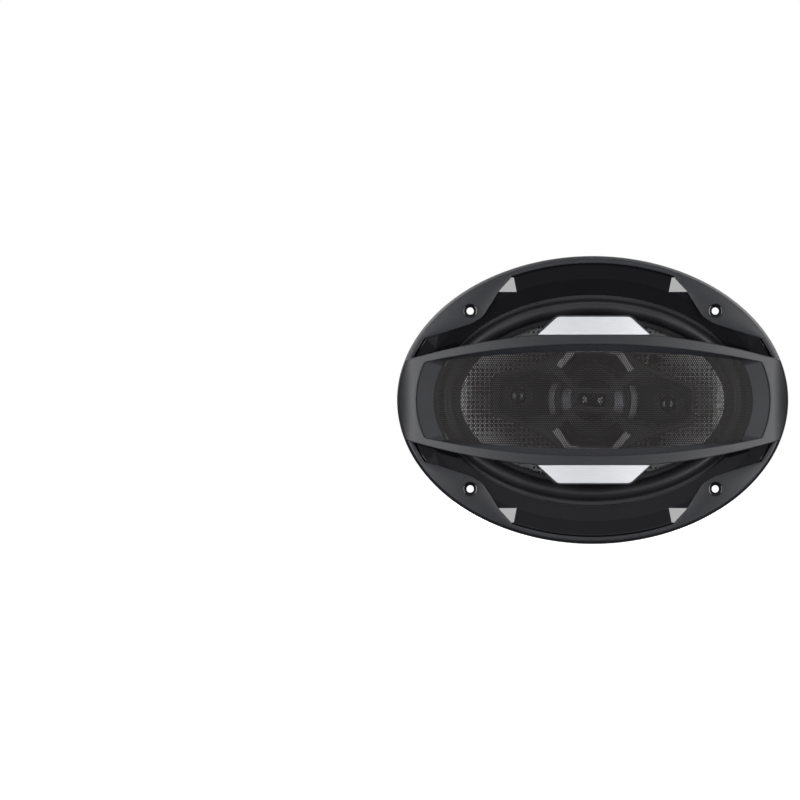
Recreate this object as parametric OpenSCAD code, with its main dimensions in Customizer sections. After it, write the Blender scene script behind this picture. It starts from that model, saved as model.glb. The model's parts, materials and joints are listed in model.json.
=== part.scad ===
// Coaxial 6 x 9 inch car speaker with a removable grille.
// Every sub-part is modelled face up, with +Z towards the listener and Z = 0 on the plane that the
// flange is screwed to, and is then stood upright, so that the finished speaker faces -Y.

/* [Flange] */
// Overall width of the mounting flange
flange_w = 235; // [225:1:236]
// Distance between the mounting slots along the width
hole_dx = 170; // [166:0.5:171]
// Distance between the mounting slots along the height
hole_dy = 123.4; // [120:0.2:124]
// Width of a mounting slot
slot_w = 6.5; // [5:0.5:7]
// Length of a mounting slot
slot_len = 9.5; // [8:0.5:10]
// Steel thickness of the stamped basket
steel_t = 1.5; // [1:0.1:1.6]
// Thickness of the gasket on the flange
gasket_t = 4; // [3:0.5:4.5]

/* [Bowl and motor] */
// Depth from the mounting plane to the ledge that the spider is glued to
ledge_depth = 36; // [34:1:40]
// Depth from that ledge to the front plate of the motor
well_depth = 11.5; // [11:0.5:14]
// Diameter of the ferrite ring magnet
magnet_d = 95; // [88:1:100]
// Thickness of the ferrite ring magnet
magnet_t = 17; // [14:1:20]
// Thickness of the front plate and of the back plate
plate_t = 5; // [4:0.5:6]
// Inner diameter of the voice coil former
coil_d = 31.4; // [31:0.1:31.6]

/* [Cone] */
// Half width of the cone at its glued edge
cone_a = 94; // [92:0.5:95]
// Half height of the cone at its glued edge
cone_b = 58; // [56:0.5:59]
// Travel of the cone each way
cone_travel = 6; // [3:0.5:6]

/* [Pod] */
// Height of the pod's front above the mounting plane
pod_front = 22; // [20:0.5:23]
// Distance of each tweeter from the middle
tweeter_x = 52; // [50:0.5:54]
// Turn of the pod on its post, seen from the front
pod_turn = -3; // [-6:1:6]

/* [Grille] */
// Half width of the grille
grille_a = 135.75; // [134:0.25:138]
// Half height of the grille
grille_b = 99.9; // [98:0.1:102]
// Height of the bridge's front above the mounting plane
bridge_front = 32; // [31.5:0.5:34]
// Diameter of a screw hole through the grille
screw_hole_d = 5; // [4:0.5:5.5]

/* [Hidden] */
$fn = 96;

// Colours
black_paint = "#26272a";
rubber = "#1d1e20";
charcoal = "#34363b";
gloss_black = "#101113";
steel = "#a9adb2";
brass = "#c8a75a";
silver = "#c9ccd0";
grey_frame = "#5b5d63";
ferrite = "#3b3a3c";

fit = 0.05;        // clearance between pieces that are pushed together
cut = 1;           // how far a cutting shape runs past the face that it opens
hull_fn = 48;      // sides of the outlines that a hull joins

// Flange outline: long arcs above and below, short arcs at the ends, and four ears
long_arc_r = 217;
long_arc_drop = 133.4;
end_arc_r = 63.5;
ear_r = 5.9;
ear_shift = [-0.5, 0.6];
slant_low = [104.8, 38.1];
slant_high = [80, 82.8];
slot_angle = 53;

// Openings in the flange, the gasket and the grille
rim_a = 108;
rim_b = 71.5;
gasket_a = 111;
gasket_b = 74.5;
gasket_front = steel_t + gasket_t;

// Half roll of the surround
lip_w = 5;
lip_t = 0.8;
roll_a = gasket_a - 4;
roll_b = gasket_b - 4;
roll_w = 10.5;
roll_slope = 4;
roll_front = 7.5;

// Bowl, ledge, well and motor, from front to back
ledge_z = -ledge_depth;
well_z = ledge_z - well_depth;
ledge_r = 51;
well_r = 44.5;
top_plate_z = well_z - plate_t;
magnet_z = top_plate_z - magnet_t;
yoke_z = magnet_z - plate_t;
plate_r = 42;
magnet_r = magnet_d / 2;
boot_t = 1.8;
spoke_count = 8;
spoke_w = 15;
window_margin = 4;
rivet_r = 2;
rivet_head_r = 3.4;
rivet_circle_r = 31;
rivet_count = 6;

// Voice coil and its gap
former_r = coil_d / 2;
former_t = 0.4;
coil_t = 0.8;
pole_r = former_r - 0.5;
gap_r = former_r + former_t + coil_t + 0.5;
neck_z = -31;
cone_edge_z = 1.2;
cone_t = 1;
coil_h = plate_t + cone_travel + 2;
coil_z = well_z - plate_t / 2 - coil_h / 2;

// Terminal board, riveted under the ledge
board_x = 58;
board_z = ledge_z - steel_t;
board_t = 1.6;
board_back = board_z - board_t;
board_w = 26;
board_h = 34;
board_rivet_r = 1.5;
tab_t = 0.8;
tab_len = 9;
tab_y = 9;
wide_tab = 6.3;
narrow_tab = 4.8;

// Post and bolt that hold the pod
post_r = 6;
bolt_r = 2.5;
bolt_hole_r = 2.7;
bolt_recess_r = 6;
bolt_recess = 4;
hub_r = 12;
hub_z = -20;
hub_h = 8;

// Pod outline, one quarter, from its end to its top
pod_quarter = [[70.5, 11], [67, 15], [42, 23], [29.5, 29], [19, 37.5], [15, 39.3]];
window_half = [[11.8, 8.3], [23, 20], [14.2, 31.5]];
slit_half = [[67.2, 9.5], [64.5, 12.2], [35, 21.6], [12.2, 4.3]];
trim_outer = [[27, 23], [16.3, 36.5]];
trim_inner = [[23.4, 20.4], [14.4, 31.9]];
trim_arch = 1.4;
pod_floor = 13;
frame_z = 17;
mid_r = 31;
mid_cone_r = 22.3;
mid_dome_r = 9;
tweeter_r = 9.2;
tweeter_dome_r = 5.6;
capacitor_x = 37;
capacitor_z = 5;

// Grille: ring, bridge and mesh
skirt_back = 0.8;
skirt_front = 7;
skirt_t = 2.5;
ear_front = 11;
ear_t = 2.4;
rim_w = 5;
rim_slope = 2;
boss_r = 6.5;
opening_a = 108;
opening_b = 73;
bridge_r = 545;
bridge_t = 2.5;
bridge_step = 1.5;
bridge_edge_r = 457;
bridge_half = 46.6;
window_edge_r = 558;
window_x = 122.5;
window_y = 38.5;
window_end_r = 60;
step_w = 2;
mesh_x = 110.5;
mesh_y = 33.8;
mesh_edge_r = 860;
mesh_end_r = 50;
mesh_lap = 2.5;
mesh_t = 0.8;
leg_x = 119;
leg_y = 27;
screw_x = 126;
screw_y = 14;
screw_r = 1.4;
screw_len = 5.5;
screw_head_r = 2.8;
screw_head_h = 1.5;
counterbore_r = 4.5;
counterbore = 3;
badge_base = 38.5;
badge_top = 25;
badge_y = 45;
badge_h = 12.4;
badge_t = 1;
badge_lift = 0.3;
badge_depth = badge_t - badge_lift;
carrier_t = 2;

// ---------------------------------------------------------------- shared shapes

// Stands a piece that was modelled face up so that it faces -Y
module upright() {
    rotate([90, 0, 0]) children();
}

module oval(a, b) {
    scale([a, b]) circle(r = 1);
}

module slab(z0, z1) {
    translate([0, 0, z0]) linear_extrude(z1 - z0) children();
}

module ring(r_in, r_out, z0, z1) {
    difference() {
        translate([0, 0, z0]) cylinder(r = r_out, h = z1 - z0);
        translate([0, 0, z0 - cut]) cylinder(r = r_in, h = z1 - z0 + 2 * cut);
    }
}

// A solid that runs from an oval at z0 to another oval at z1
module loft(a0, b0, z0, a1, b1, z1) {
    thin = 0.2;
    hull() {
        slab(z0, z0 + thin) scale([a0, b0]) circle(r = 1, $fn = hull_fn);
        slab(z1 - thin, z1) scale([a1, b1]) circle(r = 1, $fn = hull_fn);
    }
}

module four_corners(x, y) {
    for (sx = [-1, 1], sy = [-1, 1])
        translate([sx * x, sy * y]) children();
}

function mirror_x(points) = [for (i = [len(points) - 1:-1:0]) [-points[i][0], points[i][1]]];
function mirror_y(points) = [for (i = [len(points) - 1:-1:0]) [points[i][0], -points[i][1]]];
function both_sides(points) = concat(points, mirror_x(points));
function all_round(points) = concat(both_sides(points), mirror_y(both_sides(points)));

// A point of a smooth curve through a list of points
function curve_at(p, i, t) =
    let (n = len(p) - 1, a = p[max(i - 1, 0)], b = p[i], c = p[min(i + 1, n)], d = p[min(i + 2, n)])
    0.5 * (2 * b + (c - a) * t + (2 * a - 5 * b + 4 * c - d) * t * t
        + (3 * b - a - 3 * c + d) * t * t * t);
function smooth(p, steps) = concat(
    [for (i = [0:len(p) - 2], s = [0:steps - 1]) curve_at(p, i, s / steps)], [p[len(p) - 1]]);
function unit(v) = v / norm(v);
function direction(p, i) = unit(p[min(i + 1, len(p) - 1)] - p[max(i - 1, 0)]);

// A round wire along a list of points. side is a direction that the wire never follows.
module wire(points, r, side, sides = 8) {
    n = len(points);
    verts = [for (i = [0:n - 1])
        let (d = direction(points, i), u = unit(cross(d, side)), v = cross(d, u))
        for (k = [0:sides - 1])
            points[i] + r * (cos(360 * k / sides) * u + sin(360 * k / sides) * v)];
    walls = [for (i = [0:n - 2], k = [0:sides - 1])
        let (a = i * sides + k, b = i * sides + (k + 1) % sides)
        [a, b, b + sides, a + sides]];
    ends = [[for (k = [sides - 1:-1:0]) k], [for (k = [0:sides - 1]) (n - 1) * sides + k]];
    polyhedron(verts, concat(walls, ends));
}

// ---------------------------------------------------------------- basket and gasket

module flange_outline() {
    intersection() {
        translate([0, -long_arc_drop]) circle(r = long_arc_r);
        translate([0, long_arc_drop]) circle(r = long_arc_r);
        union() {
            polygon(all_round([slant_low, slant_high]));
            for (s = [-1, 1])
                translate([s * (flange_w / 2 - end_arc_r), 0]) circle(r = end_arc_r);
        }
    }
    for (sx = [-1, 1], sy = [-1, 1])
        translate([sx * (hole_dx / 2 + ear_shift[0]), sy * (hole_dy / 2 + ear_shift[1])])
            circle(r = ear_r);
}

module mounting_slots() {
    straight = slot_len - slot_w;
    for (sx = [-1, 1], sy = [-1, 1])
        translate([sx * hole_dx / 2, sy * hole_dy / 2]) rotate(sx * sy * slot_angle) {
            square([straight, slot_w], center = true);
            for (e = [-1, 1]) translate([e * straight / 2, 0]) circle(d = slot_w);
        }
}

module basket_windows() {
    difference() {
        oval(rim_a - 1.5 * window_margin, rim_b - window_margin);
        circle(r = ledge_r + window_margin);
        for (i = [0:spoke_count / 2 - 1])
            rotate((i + 0.5) * 360 / spoke_count) square([2 * flange_w, spoke_w], center = true);
    }
}

module basket() upright() color(black_paint) {
    difference() {
        union() {
            slab(0, steel_t) difference() {
                flange_outline();
                mounting_slots();
            }
            loft(ledge_r, ledge_r, ledge_z - steel_t, rim_a, rim_b, 0.2);
        }
        loft(ledge_r - steel_t, ledge_r - steel_t, ledge_z,
            rim_a - steel_t, rim_b - steel_t, steel_t + cut);
        slab(ledge_z - 2 * steel_t, -2 * steel_t) basket_windows();
        translate([0, 0, ledge_z - 2 * steel_t]) cylinder(r = well_r - 0.2, h = 3 * steel_t);
        board_rivet_places() translate([0, 0, board_z - cut])
            cylinder(r = board_rivet_r + fit, h = 2 * steel_t);
    }
    difference() {
        translate([0, 0, well_z]) cylinder(r = well_r, h = well_depth);
        translate([0, 0, well_z + steel_t]) cylinder(r = well_r - steel_t, h = well_depth);
        translate([0, 0, well_z - cut]) cylinder(r = gap_r + 1.5, h = 3 * cut + steel_t);
        rivet_circle() translate([0, 0, well_z - cut]) cylinder(r = rivet_r + fit, h = 4);
    }
}

module gasket() upright() color(rubber) {
    slab(steel_t, gasket_front) difference() {
        flange_outline();
        oval(gasket_a, gasket_b);
        mounting_slots();
    }
}

module rivet_circle() {
    for (i = [0:rivet_count - 1])
        rotate((i + 0.5) * 360 / rivet_count) translate([rivet_circle_r, 0, 0]) children();
}

module basket_rivets() upright() color(steel) {
    rivet_circle() {
        translate([0, 0, top_plate_z + 1]) cylinder(r = rivet_r, h = plate_t + steel_t - 1);
        translate([0, 0, well_z + steel_t]) cylinder(r = rivet_head_r, h = 1);
    }
}

// ---------------------------------------------------------------- motor

module top_plate() upright() color(steel) {
    difference() {
        translate([0, 0, top_plate_z]) cylinder(r = plate_r, h = plate_t);
        translate([0, 0, top_plate_z - cut]) cylinder(r = gap_r, h = plate_t + 2 * cut);
        rivet_circle() translate([0, 0, top_plate_z + 1]) cylinder(r = rivet_r + fit, h = plate_t);
    }
}

module magnet() upright() color(ferrite) {
    ring(gap_r + 5, magnet_r, magnet_z, top_plate_z);
}

module yoke() upright() color(steel) {
    difference() {
        union() {
            translate([0, 0, yoke_z]) cylinder(r = plate_r, h = plate_t);
            translate([0, 0, yoke_z]) cylinder(r = pole_r, h = well_z - yoke_z);
        }
        translate([0, 0, yoke_z - cut]) cylinder(r = bolt_hole_r, h = well_z - yoke_z + 2 * cut);
        translate([0, 0, yoke_z - cut]) cylinder(r = bolt_recess_r, h = bolt_recess + cut);
    }
}

module magnet_boot() upright() color(rubber) {
    translate([0, 0, yoke_z - boot_t]) rotate_extrude() polygon([
        [plate_r - 12, 0], [magnet_r + boot_t - 2, 0], [magnet_r + boot_t, 2],
        [magnet_r + boot_t, plate_t + magnet_t], [magnet_r + fit, plate_t + magnet_t],
        [magnet_r + fit, plate_t + boot_t], [plate_r + fit, plate_t + boot_t],
        [plate_r + fit, boot_t], [plate_r - 12, boot_t]
    ]);
}

module pod_post() upright() color(black_paint) {
    ring(bolt_hole_r, post_r, well_z, hub_z);
}

module post_bolt() upright() color(steel) {
    head_h = 3.5;
    front = hub_z + 7;
    back = yoke_z + bolt_recess;
    translate([0, 0, back - head_h]) cylinder(r = 4.6, h = head_h, $fn = 6);
    translate([0, 0, back]) cylinder(r = bolt_r, h = front - back);
}

// ---------------------------------------------------------------- terminals

module board_rivet_places() {
    for (s = [-1, 1]) translate([board_x - 10, s * 12, 0]) children();
}

module terminal_board() upright() color("#5a4632") {
    difference() {
        slab(board_back, board_z) translate([board_x, 0]) square([board_w, board_h], center = true);
        translate([0, 0, board_back - cut]) cylinder(r = well_r + 0.3, h = board_t + 2 * cut);
        board_rivet_places() translate([0, 0, board_back - cut])
            cylinder(r = board_rivet_r + fit, h = board_t + 2 * cut);
    }
}

module terminal_rivets() upright() color(steel) {
    board_rivet_places() {
        translate([0, 0, board_back]) cylinder(r = board_rivet_r, h = board_t + steel_t - fit);
        translate([0, 0, board_back - 1]) cylinder(r = 2.8, h = 1);
    }
}

// An angled push-on terminal: a foot on the board and a blade that points backwards
module tab(y, width) {
    foot = 13;
    foot_x = board_x + 5;
    slab(board_back - tab_t, board_back) translate([foot_x, y]) square([foot, width], center = true);
    translate([foot_x + foot / 2 - tab_t, y - width / 2, board_back - tab_len])
        cube([tab_t, width, tab_len - tab_t]);
}

module terminal_positive() upright() color(brass) {
    tab(tab_y, wide_tab);
}

module terminal_negative() upright() color(silver) {
    tab(-tab_y, narrow_tab);
}

// ---------------------------------------------------------------- moving cone

module cone() upright() color("#8f9296") {
    neck_r = former_r + former_t + cone_t;
    difference() {
        loft(neck_r, neck_r, neck_z, cone_a, cone_b, cone_edge_z);
        translate([0, 0, cone_t]) loft(neck_r, neck_r, neck_z, cone_a, cone_b, cone_edge_z);
        translate([0, 0, neck_z - cut])
            cylinder(r = former_r + former_t + fit, h = 4);
    }
}

module coil_former() upright() color("#b98a4a") {
    ring(former_r, former_r + former_t, coil_z - 1, neck_z + 2);
}

module voice_coil() upright() color("#b46a35") {
    ring(former_r + former_t, former_r + former_t + coil_t, coil_z, coil_z + coil_h);
}

// The rubber half roll between the cone and the flange, with a flat lip on each side
module surround() upright() color(rubber) {
    slab(steel_t, steel_t + lip_t) difference() {
        oval(gasket_a, gasket_b);
        oval(gasket_a - lip_w, gasket_b - lip_w);
    }
    difference() {
        loft(roll_a, roll_b, steel_t, roll_a - roll_slope, roll_b - roll_slope, roll_front);
        translate([0, 0, 0.01])
            loft(roll_a - roll_w, roll_b - roll_w, steel_t - 0.2,
                roll_a - roll_w + roll_slope - 1, roll_b - roll_w + roll_slope - 1, roll_front + 0.1);
    }
    slab(cone_edge_z, cone_edge_z + lip_t) difference() {
        oval(cone_a + 3, cone_b + 2.5);
        oval(cone_a - 2, cone_b - 2);
    }
}

// Corrugated cloth disc that centres the coil
module spider() upright() color("#c98a3c") {
    waves = 8;
    inner = former_r + former_t + fit;
    outer = well_r - 1.5;
    rim = ledge_r - 2.2;
    pitch = (outer - inner) / (2 * waves);
    height = 1.4;
    cloth_t = 0.7;
    front = [for (i = [0:2 * waves]) [inner + i * pitch, i % 2 == 0 ? 0 : height]];
    back = [for (i = [2 * waves:-1:0]) [inner + i * pitch, (i % 2 == 0 ? 0 : height) - cloth_t]];
    translate([0, 0, ledge_z + cloth_t])
        rotate_extrude() polygon(concat(front, [[rim, 0], [rim, -cloth_t]], back));
}

module tinsel_leads() upright() color("#b9763a") {
    for (s = [-1, 1]) {
        route = [
            [59, s * 5, board_z + 1], [58.5, s * 5, board_z + 6], [53, s * 5, board_z + 10],
            [44, s * 5.5, board_z + 9.5], [35, s * 6, board_z + 8], [30, s * 6, board_z + 10]
        ];
        wire(smooth(route, 3), 0.8, [0, 1, 0]);
    }
}

module lead_dabs() upright() color("#0c0c0e") {
    for (s = [-1, 1])
        translate([44, s * 28, -10.6]) rotate([-s * 30, -20, 0])
            scale([4, 3, 1.2]) sphere(r = 1, $fn = 32);
}

module pod_leads() upright() color("#d8cfb8") {
    for (s = [-1, 1]) {
        route = [
            [36.5, s * 22.5, -1.4], [38, s * 26.5, -2.8], [39.3, s * 33, -2], [43, s * 38.5, 0],
            [47.2, s * 37.5, 0], [49, s * 33.5, -3], [46.8, s * 30, -7.8]
        ];
        wire(smooth(route, 3), 0.6, [0.3, 0, 1]);
    }
}

// ---------------------------------------------------------------- pod

module pod_outline() {
    polygon(all_round(pod_quarter));
}

// The six-sided opening above (side 0) or below (side 1) the crossing bars
module window(side) {
    mirror([0, side]) polygon(both_sides(window_half));
}

module turned() {
    upright() rotate([0, 0, pod_turn]) children();
}

module pod_housing() turned() color(gloss_black) {
    difference() {
        union() {
            hull() {
                slab(4, frame_z) pod_outline();
                translate([0, 0, -14]) cylinder(r = hub_r + 1, h = 1, $fn = hull_fn);
            }
            translate([0, 0, hub_z]) cylinder(r = hub_r, h = hub_h);
        }
        translate([0, 0, 1]) cylinder(r = mid_r + fit, h = frame_z);
        translate([0, 0, -10.2]) cylinder(r = 14 + fit, h = 12);
        slab(pod_floor, frame_z + cut) polygon(all_round(slit_half));
        slab(pod_floor, frame_z + cut) for (side = [0, 1]) window(side);
        for (s = [-1, 1]) {
            translate([s * tweeter_x, 0, 1.5]) cylinder(r = tweeter_r + fit, h = frame_z);
            slab(hub_z, capacitor_z + 3.5) translate([s * capacitor_x, 0]) square([7.2, 14], center = true);
        }
        translate([0, 0, hub_z - cut]) cylinder(r = bolt_r + fit, h = hub_h + cut);
    }
}

module pod_frame() turned() color(grey_frame) {
    slab(frame_z, pod_front - 1) difference() {
        pod_outline();
        polygon(all_round(slit_half));
        for (side = [0, 1]) window(side);
    }
}

// A flat band with three legs, slightly arched in the middle
module trim_band() {
    outer = concat(trim_outer, [[8, trim_outer[1][1] + trim_arch]]);
    inner = concat(trim_inner, [[8, trim_inner[1][1] + 0.8 * trim_arch]]);
    inner_left = [for (p = inner) [-p[0], p[1]]];
    polygon(concat(both_sides(outer), inner_left, mirror_x(inner_left)));
}

module trim_upper() turned() color("#e6e5e3") {
    slab(pod_front - 1, pod_front) trim_band();
}

module trim_lower() turned() color("#e6e5e3") {
    slab(pod_front - 1, pod_front) mirror([0, 1]) trim_band();
}

// ---------------------------------------------------------------- midrange

module mid_ring() turned() color(silver) {
    rotate_extrude() polygon([
        [26.5, 10], [mid_r, 10], [mid_r, 12.8], [26.5, 12.8]
    ]);
    rotate_extrude() polygon([
        [11, 1], [14.5, 1], [26, 7.4], [mid_r, 8], [mid_r, 10], [26, 9.4], [14.5, 3], [11, 3]
    ]);
}

module mid_magnet() turned() color(ferrite) {
    translate([0, 0, -8.5]) cylinder(r = 7.6, h = 8);
}

module mid_cup() turned() color(steel) {
    difference() {
        translate([0, 0, -10]) cylinder(r = 14, h = 11);
        translate([0, 0, -8.5]) cylinder(r = 9.6, h = 12);
    }
}

module mid_surround() turned() color(rubber) {
    ring(mid_cone_r + fit, 26.4, 10.3, 11.3);
}

module mid_cone() turned() color(gloss_black) {
    rotate_extrude()
        polygon([[mid_dome_r, 4], [mid_cone_r, 10.4], [mid_cone_r, 11], [mid_dome_r, 4.8]]);
}

module mid_dome() turned() color(gloss_black) {
    dome_rise = 4;
    sphere_r = (mid_dome_r * mid_dome_r + dome_rise * dome_rise) / (2 * dome_rise);
    translate([0, 0, 4.8 + dome_rise - sphere_r]) intersection() {
        difference() {
            sphere(r = sphere_r);
            sphere(r = sphere_r - 0.5);
        }
        translate([-10, -10, sphere_r - dome_rise]) cube([20, 20, 10]);
    }
}

module mid_coil() turned() color("#b46a35") {
    ring(mid_dome_r - 0.8, mid_dome_r - 0.1, -4, 4);
}

// ---------------------------------------------------------------- tweeters

module at_tweeter(s) {
    turned() translate([s * tweeter_x, 0, 0]) children();
}

module tweeter_ring(s) {
    at_tweeter(s) color(gloss_black) rotate_extrude() polygon([
        [tweeter_dome_r + 0.4, 10], [tweeter_r, 10], [tweeter_r, 15.4], [tweeter_r - 0.8, 16],
        [tweeter_r - 1.6, 15.2], [tweeter_dome_r + 0.4, 12.4]
    ]);
}

module tweeter_cup(s) {
    at_tweeter(s) color(steel) difference() {
        translate([0, 0, 1.5]) cylinder(r = tweeter_r, h = 8.5);
        translate([0, 0, 3]) cylinder(r = tweeter_dome_r + 0.6, h = 8);
    }
}

module tweeter_magnet(s) {
    at_tweeter(s) color("#8b8f94") translate([0, 0, 3]) cylinder(r = 4.2, h = 5);
}

module tweeter_dome(s) {
    dome_rise = 3.4;
    sphere_r = (tweeter_dome_r * tweeter_dome_r + dome_rise * dome_rise) / (2 * dome_rise);
    at_tweeter(s) color(gloss_black) translate([0, 0, 12 + dome_rise - sphere_r]) intersection() {
        difference() {
            sphere(r = sphere_r);
            sphere(r = sphere_r - 0.4);
        }
        translate([-6, -6, sphere_r - dome_rise]) cube([12, 12, 8]);
    }
}

module tweeter_coil(s) {
    at_tweeter(s) color("#b46a35") ring(tweeter_dome_r - 0.8, tweeter_dome_r - 0.2, 5.5, 12);
}

module capacitors() turned() color("#3a4a6b") {
    for (s = [-1, 1])
        translate([s * capacitor_x, 0, capacitor_z]) rotate([90, 0, 0])
            cylinder(r = 3.5, h = 13, center = true);
}

// ---------------------------------------------------------------- grille

module bridge_outline() {
    drop = bridge_edge_r - bridge_half;
    intersection() {
        translate([0, -drop]) circle(r = bridge_edge_r);
        translate([0, drop]) circle(r = bridge_edge_r);
        oval(grille_a - 0.6, grille_b - 0.6);
    }
}

// The opening of the bridge, or the mesh behind it: long arcs above and below, round ends
module window_outline(half_w, half_h, end_r, edge_r = window_edge_r) {
    drop = edge_r - half_h;
    intersection() {
        translate([0, -drop]) circle(r = edge_r);
        translate([0, drop]) circle(r = edge_r);
        union() {
            for (s = [-1, 1]) translate([s * (half_w - end_r), 0]) circle(r = end_r);
            square([2 * (half_w - end_r), 2 * end_r], center = true);
        }
    }
}

// A sheet that bows forward along the speaker's width, back being its depth behind the front
module bowed(back, thickness) {
    translate([0, 0, bridge_front - bridge_r]) rotate([90, 0, 0]) difference() {
        cylinder(r = bridge_r - back, h = 4 * grille_b, center = true, $fn = 720);
        cylinder(r = bridge_r - back - thickness, h = 4 * grille_b + cut, center = true, $fn = 720);
    }
}

module bowed_plate(back, thickness) {
    intersection() {
        slab(0, bridge_front + cut) children();
        bowed(back, thickness);
    }
}

// Flat ears around the screw holes and landings under the ends of the bridge
module ear_quarter() {
    polygon([
        [55.8, 85.6], [65.5, 75.1], [76.5, 57.5], [83.9, 52.9], [107, 45.5], [121, 41.5],
        [150, 41], [150, 120], [50, 120]
    ]);
}

module landing() {
    length = grille_a;
    for (s = [-1, 1])
        translate([s * (leg_x + length / 2), 0]) square([length, 2 * leg_y + 2], center = true);
}

module raised_area() {
    for (sx = [0, 1], sy = [0, 1]) mirror([sx, 0]) mirror([0, sy]) ear_quarter();
    landing();
}

module grille_ring() upright() color(charcoal) {
    inner_a = grille_a - skirt_t;
    inner_b = grille_b - skirt_t;
    difference() {
        union() {
            slab(skirt_back, skirt_front) difference() {
                oval(grille_a, grille_b);
                oval(inner_a, inner_b);
            }
            difference() {
                loft(grille_a, grille_b, skirt_front,
                    grille_a - rim_slope, grille_b - rim_slope, ear_front);
                slab(0, ear_front + cut) oval(grille_a - rim_w, grille_b - rim_w);
            }
            slab(ear_front - ear_t, ear_front) intersection() {
                oval(grille_a - rim_w + fit, grille_b - rim_w + fit);
                raised_area();
            }
            slab(gasket_front, ear_front) four_corners(hole_dx / 2, hole_dy / 2) circle(r = boss_r);
        }
        four_corners(hole_dx / 2, hole_dy / 2) {
            translate([0, 0, -cut]) cylinder(d = screw_hole_d, h = 2 * ear_front);
            translate([0, 0, ear_front - counterbore]) cylinder(r = counterbore_r, h = 2 * counterbore);
        }
        four_corners(screw_x, screw_y) cylinder(r = screw_r + 0.2, h = 2 * ear_front);
    }
}

// Gloss black wall that slopes from the rim down to the opening, above or below the bridge
module scallop(s) {
    wall_y = leg_y + 1.2;
    difference() {
        slab(gasket_front, ear_front - 1) intersection() {
            difference() {
                oval(grille_a - rim_w - fit, grille_b - rim_w - fit);
                oval(opening_a, opening_b);
            }
            translate([-grille_a, s > 0 ? wall_y : -wall_y - grille_a])
                square([2 * grille_a, grille_a]);
        }
        loft(opening_a + 0.5, opening_b + 0.5, gasket_front + 1.2,
            grille_a - rim_w, grille_b - rim_w, ear_front);
        slab(0, 2 * ear_front) {
            raised_area();
            four_corners(hole_dx / 2, hole_dy / 2) circle(r = boss_r + fit);
        }
    }
}

module scallop_upper() upright() color(gloss_black) {
    scallop(1);
}

module scallop_lower() upright() color(gloss_black) {
    scallop(-1);
}

module grille_bridge() upright() color(charcoal) {
    difference() {
        bowed_plate(0, bridge_t) difference() {
            bridge_outline();
            window_outline(window_x, window_y, window_end_r);
        }
        for (side = [0, 1]) bowed_plate(-cut, cut + badge_depth) mirror([0, side]) badge_plate();
    }
    bowed_plate(bridge_t, bridge_step) difference() {
        window_outline(window_x + step_w, window_y + step_w, window_end_r);
        window_outline(mesh_x, mesh_y, mesh_end_r, mesh_edge_r);
    }
    difference() {
        intersection() {
            slab(ear_front, bridge_front) difference() {
                bridge_outline();
                square([2 * leg_x + 4, 2 * bridge_half], center = true);
            }
            bowed(bridge_t / 2, bridge_front);
        }
        four_corners(screw_x, screw_y) translate([0, 0, ear_front - ear_t])
            cylinder(r = screw_r + fit, h = screw_len + fit);
    }
    for (side = [0, 1])
        bowed_plate(badge_depth, carrier_t) mirror([0, side]) badge_carrier();
}

module grille_mesh() upright() color("#17181a") {
    bowed_plate(bridge_t + bridge_step, mesh_t)
        window_outline(mesh_x + mesh_lap, mesh_y + step_w, mesh_end_r, mesh_edge_r);
}

module badge_plate() {
    polygon([
        [-badge_base, badge_y], [badge_base, badge_y], [badge_top, badge_y + badge_h],
        [-badge_top, badge_y + badge_h]
    ]);
}

// The tongue of the bridge that a badge is stuck to
module badge_carrier() {
    edge = 1;
    polygon([
        [-badge_base - edge, badge_y - 4], [badge_base + edge, badge_y - 4],
        [badge_base + 2 * edge, badge_y - 0.5], [badge_top + edge, badge_y + badge_h + edge],
        [-badge_top - edge, badge_y + badge_h + edge], [-badge_base - 2 * edge, badge_y - 0.5]
    ]);
}

module badge(side) {
    color(silver) bowed_plate(-badge_lift, badge_t) mirror([0, side]) badge_plate();
}

module badge_upper() upright() badge(0);

module badge_lower() upright() badge(1);

module bridge_screws() upright() color(steel) {
    four_corners(screw_x, screw_y) {
        translate([0, 0, ear_front - ear_t - screw_head_h]) cylinder(r = screw_head_r, h = screw_head_h);
        translate([0, 0, ear_front - ear_t]) cylinder(r = screw_r, h = screw_len);
    }
}

basket();
gasket();
top_plate();
magnet();
yoke();
magnet_boot();
terminal_board();
terminal_positive();
terminal_negative();
terminal_rivets();
basket_rivets();
pod_post();
post_bolt();
pod_housing();
pod_frame();
trim_upper();
trim_lower();
mid_ring();
mid_magnet();
mid_cup();
mid_surround();
tweeter_ring(-1);  // tweeter_ring_left
tweeter_ring(1);  // tweeter_ring_right
tweeter_magnet(-1);  // tweeter_magnet_left
tweeter_magnet(1);  // tweeter_magnet_right
tweeter_cup(-1);  // tweeter_cup_left
tweeter_cup(1);  // tweeter_cup_right
capacitors();
surround();
spider();
tinsel_leads();
pod_leads();
cone();
coil_former();
voice_coil();
lead_dabs();
mid_cone();
mid_dome();
mid_coil();
tweeter_dome(-1);  // tweeter_dome_left
tweeter_dome(1);  // tweeter_dome_right
tweeter_coil(-1);  // tweeter_coil_left
tweeter_coil(1);  // tweeter_coil_right
grille_ring();
scallop_upper();
scallop_lower();
grille_bridge();
grille_mesh();
badge_upper();
badge_lower();
bridge_screws();
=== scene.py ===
"""Oval coaxial car speaker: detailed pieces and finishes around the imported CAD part.

Shapes are worked out in the CAD's own flat frame, in millimetres: x along the long side, y along the
short side and z towards the listener. stand() turns them upright, so that the speaker faces -Y.
"""

import json
import math
from types import SimpleNamespace

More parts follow.
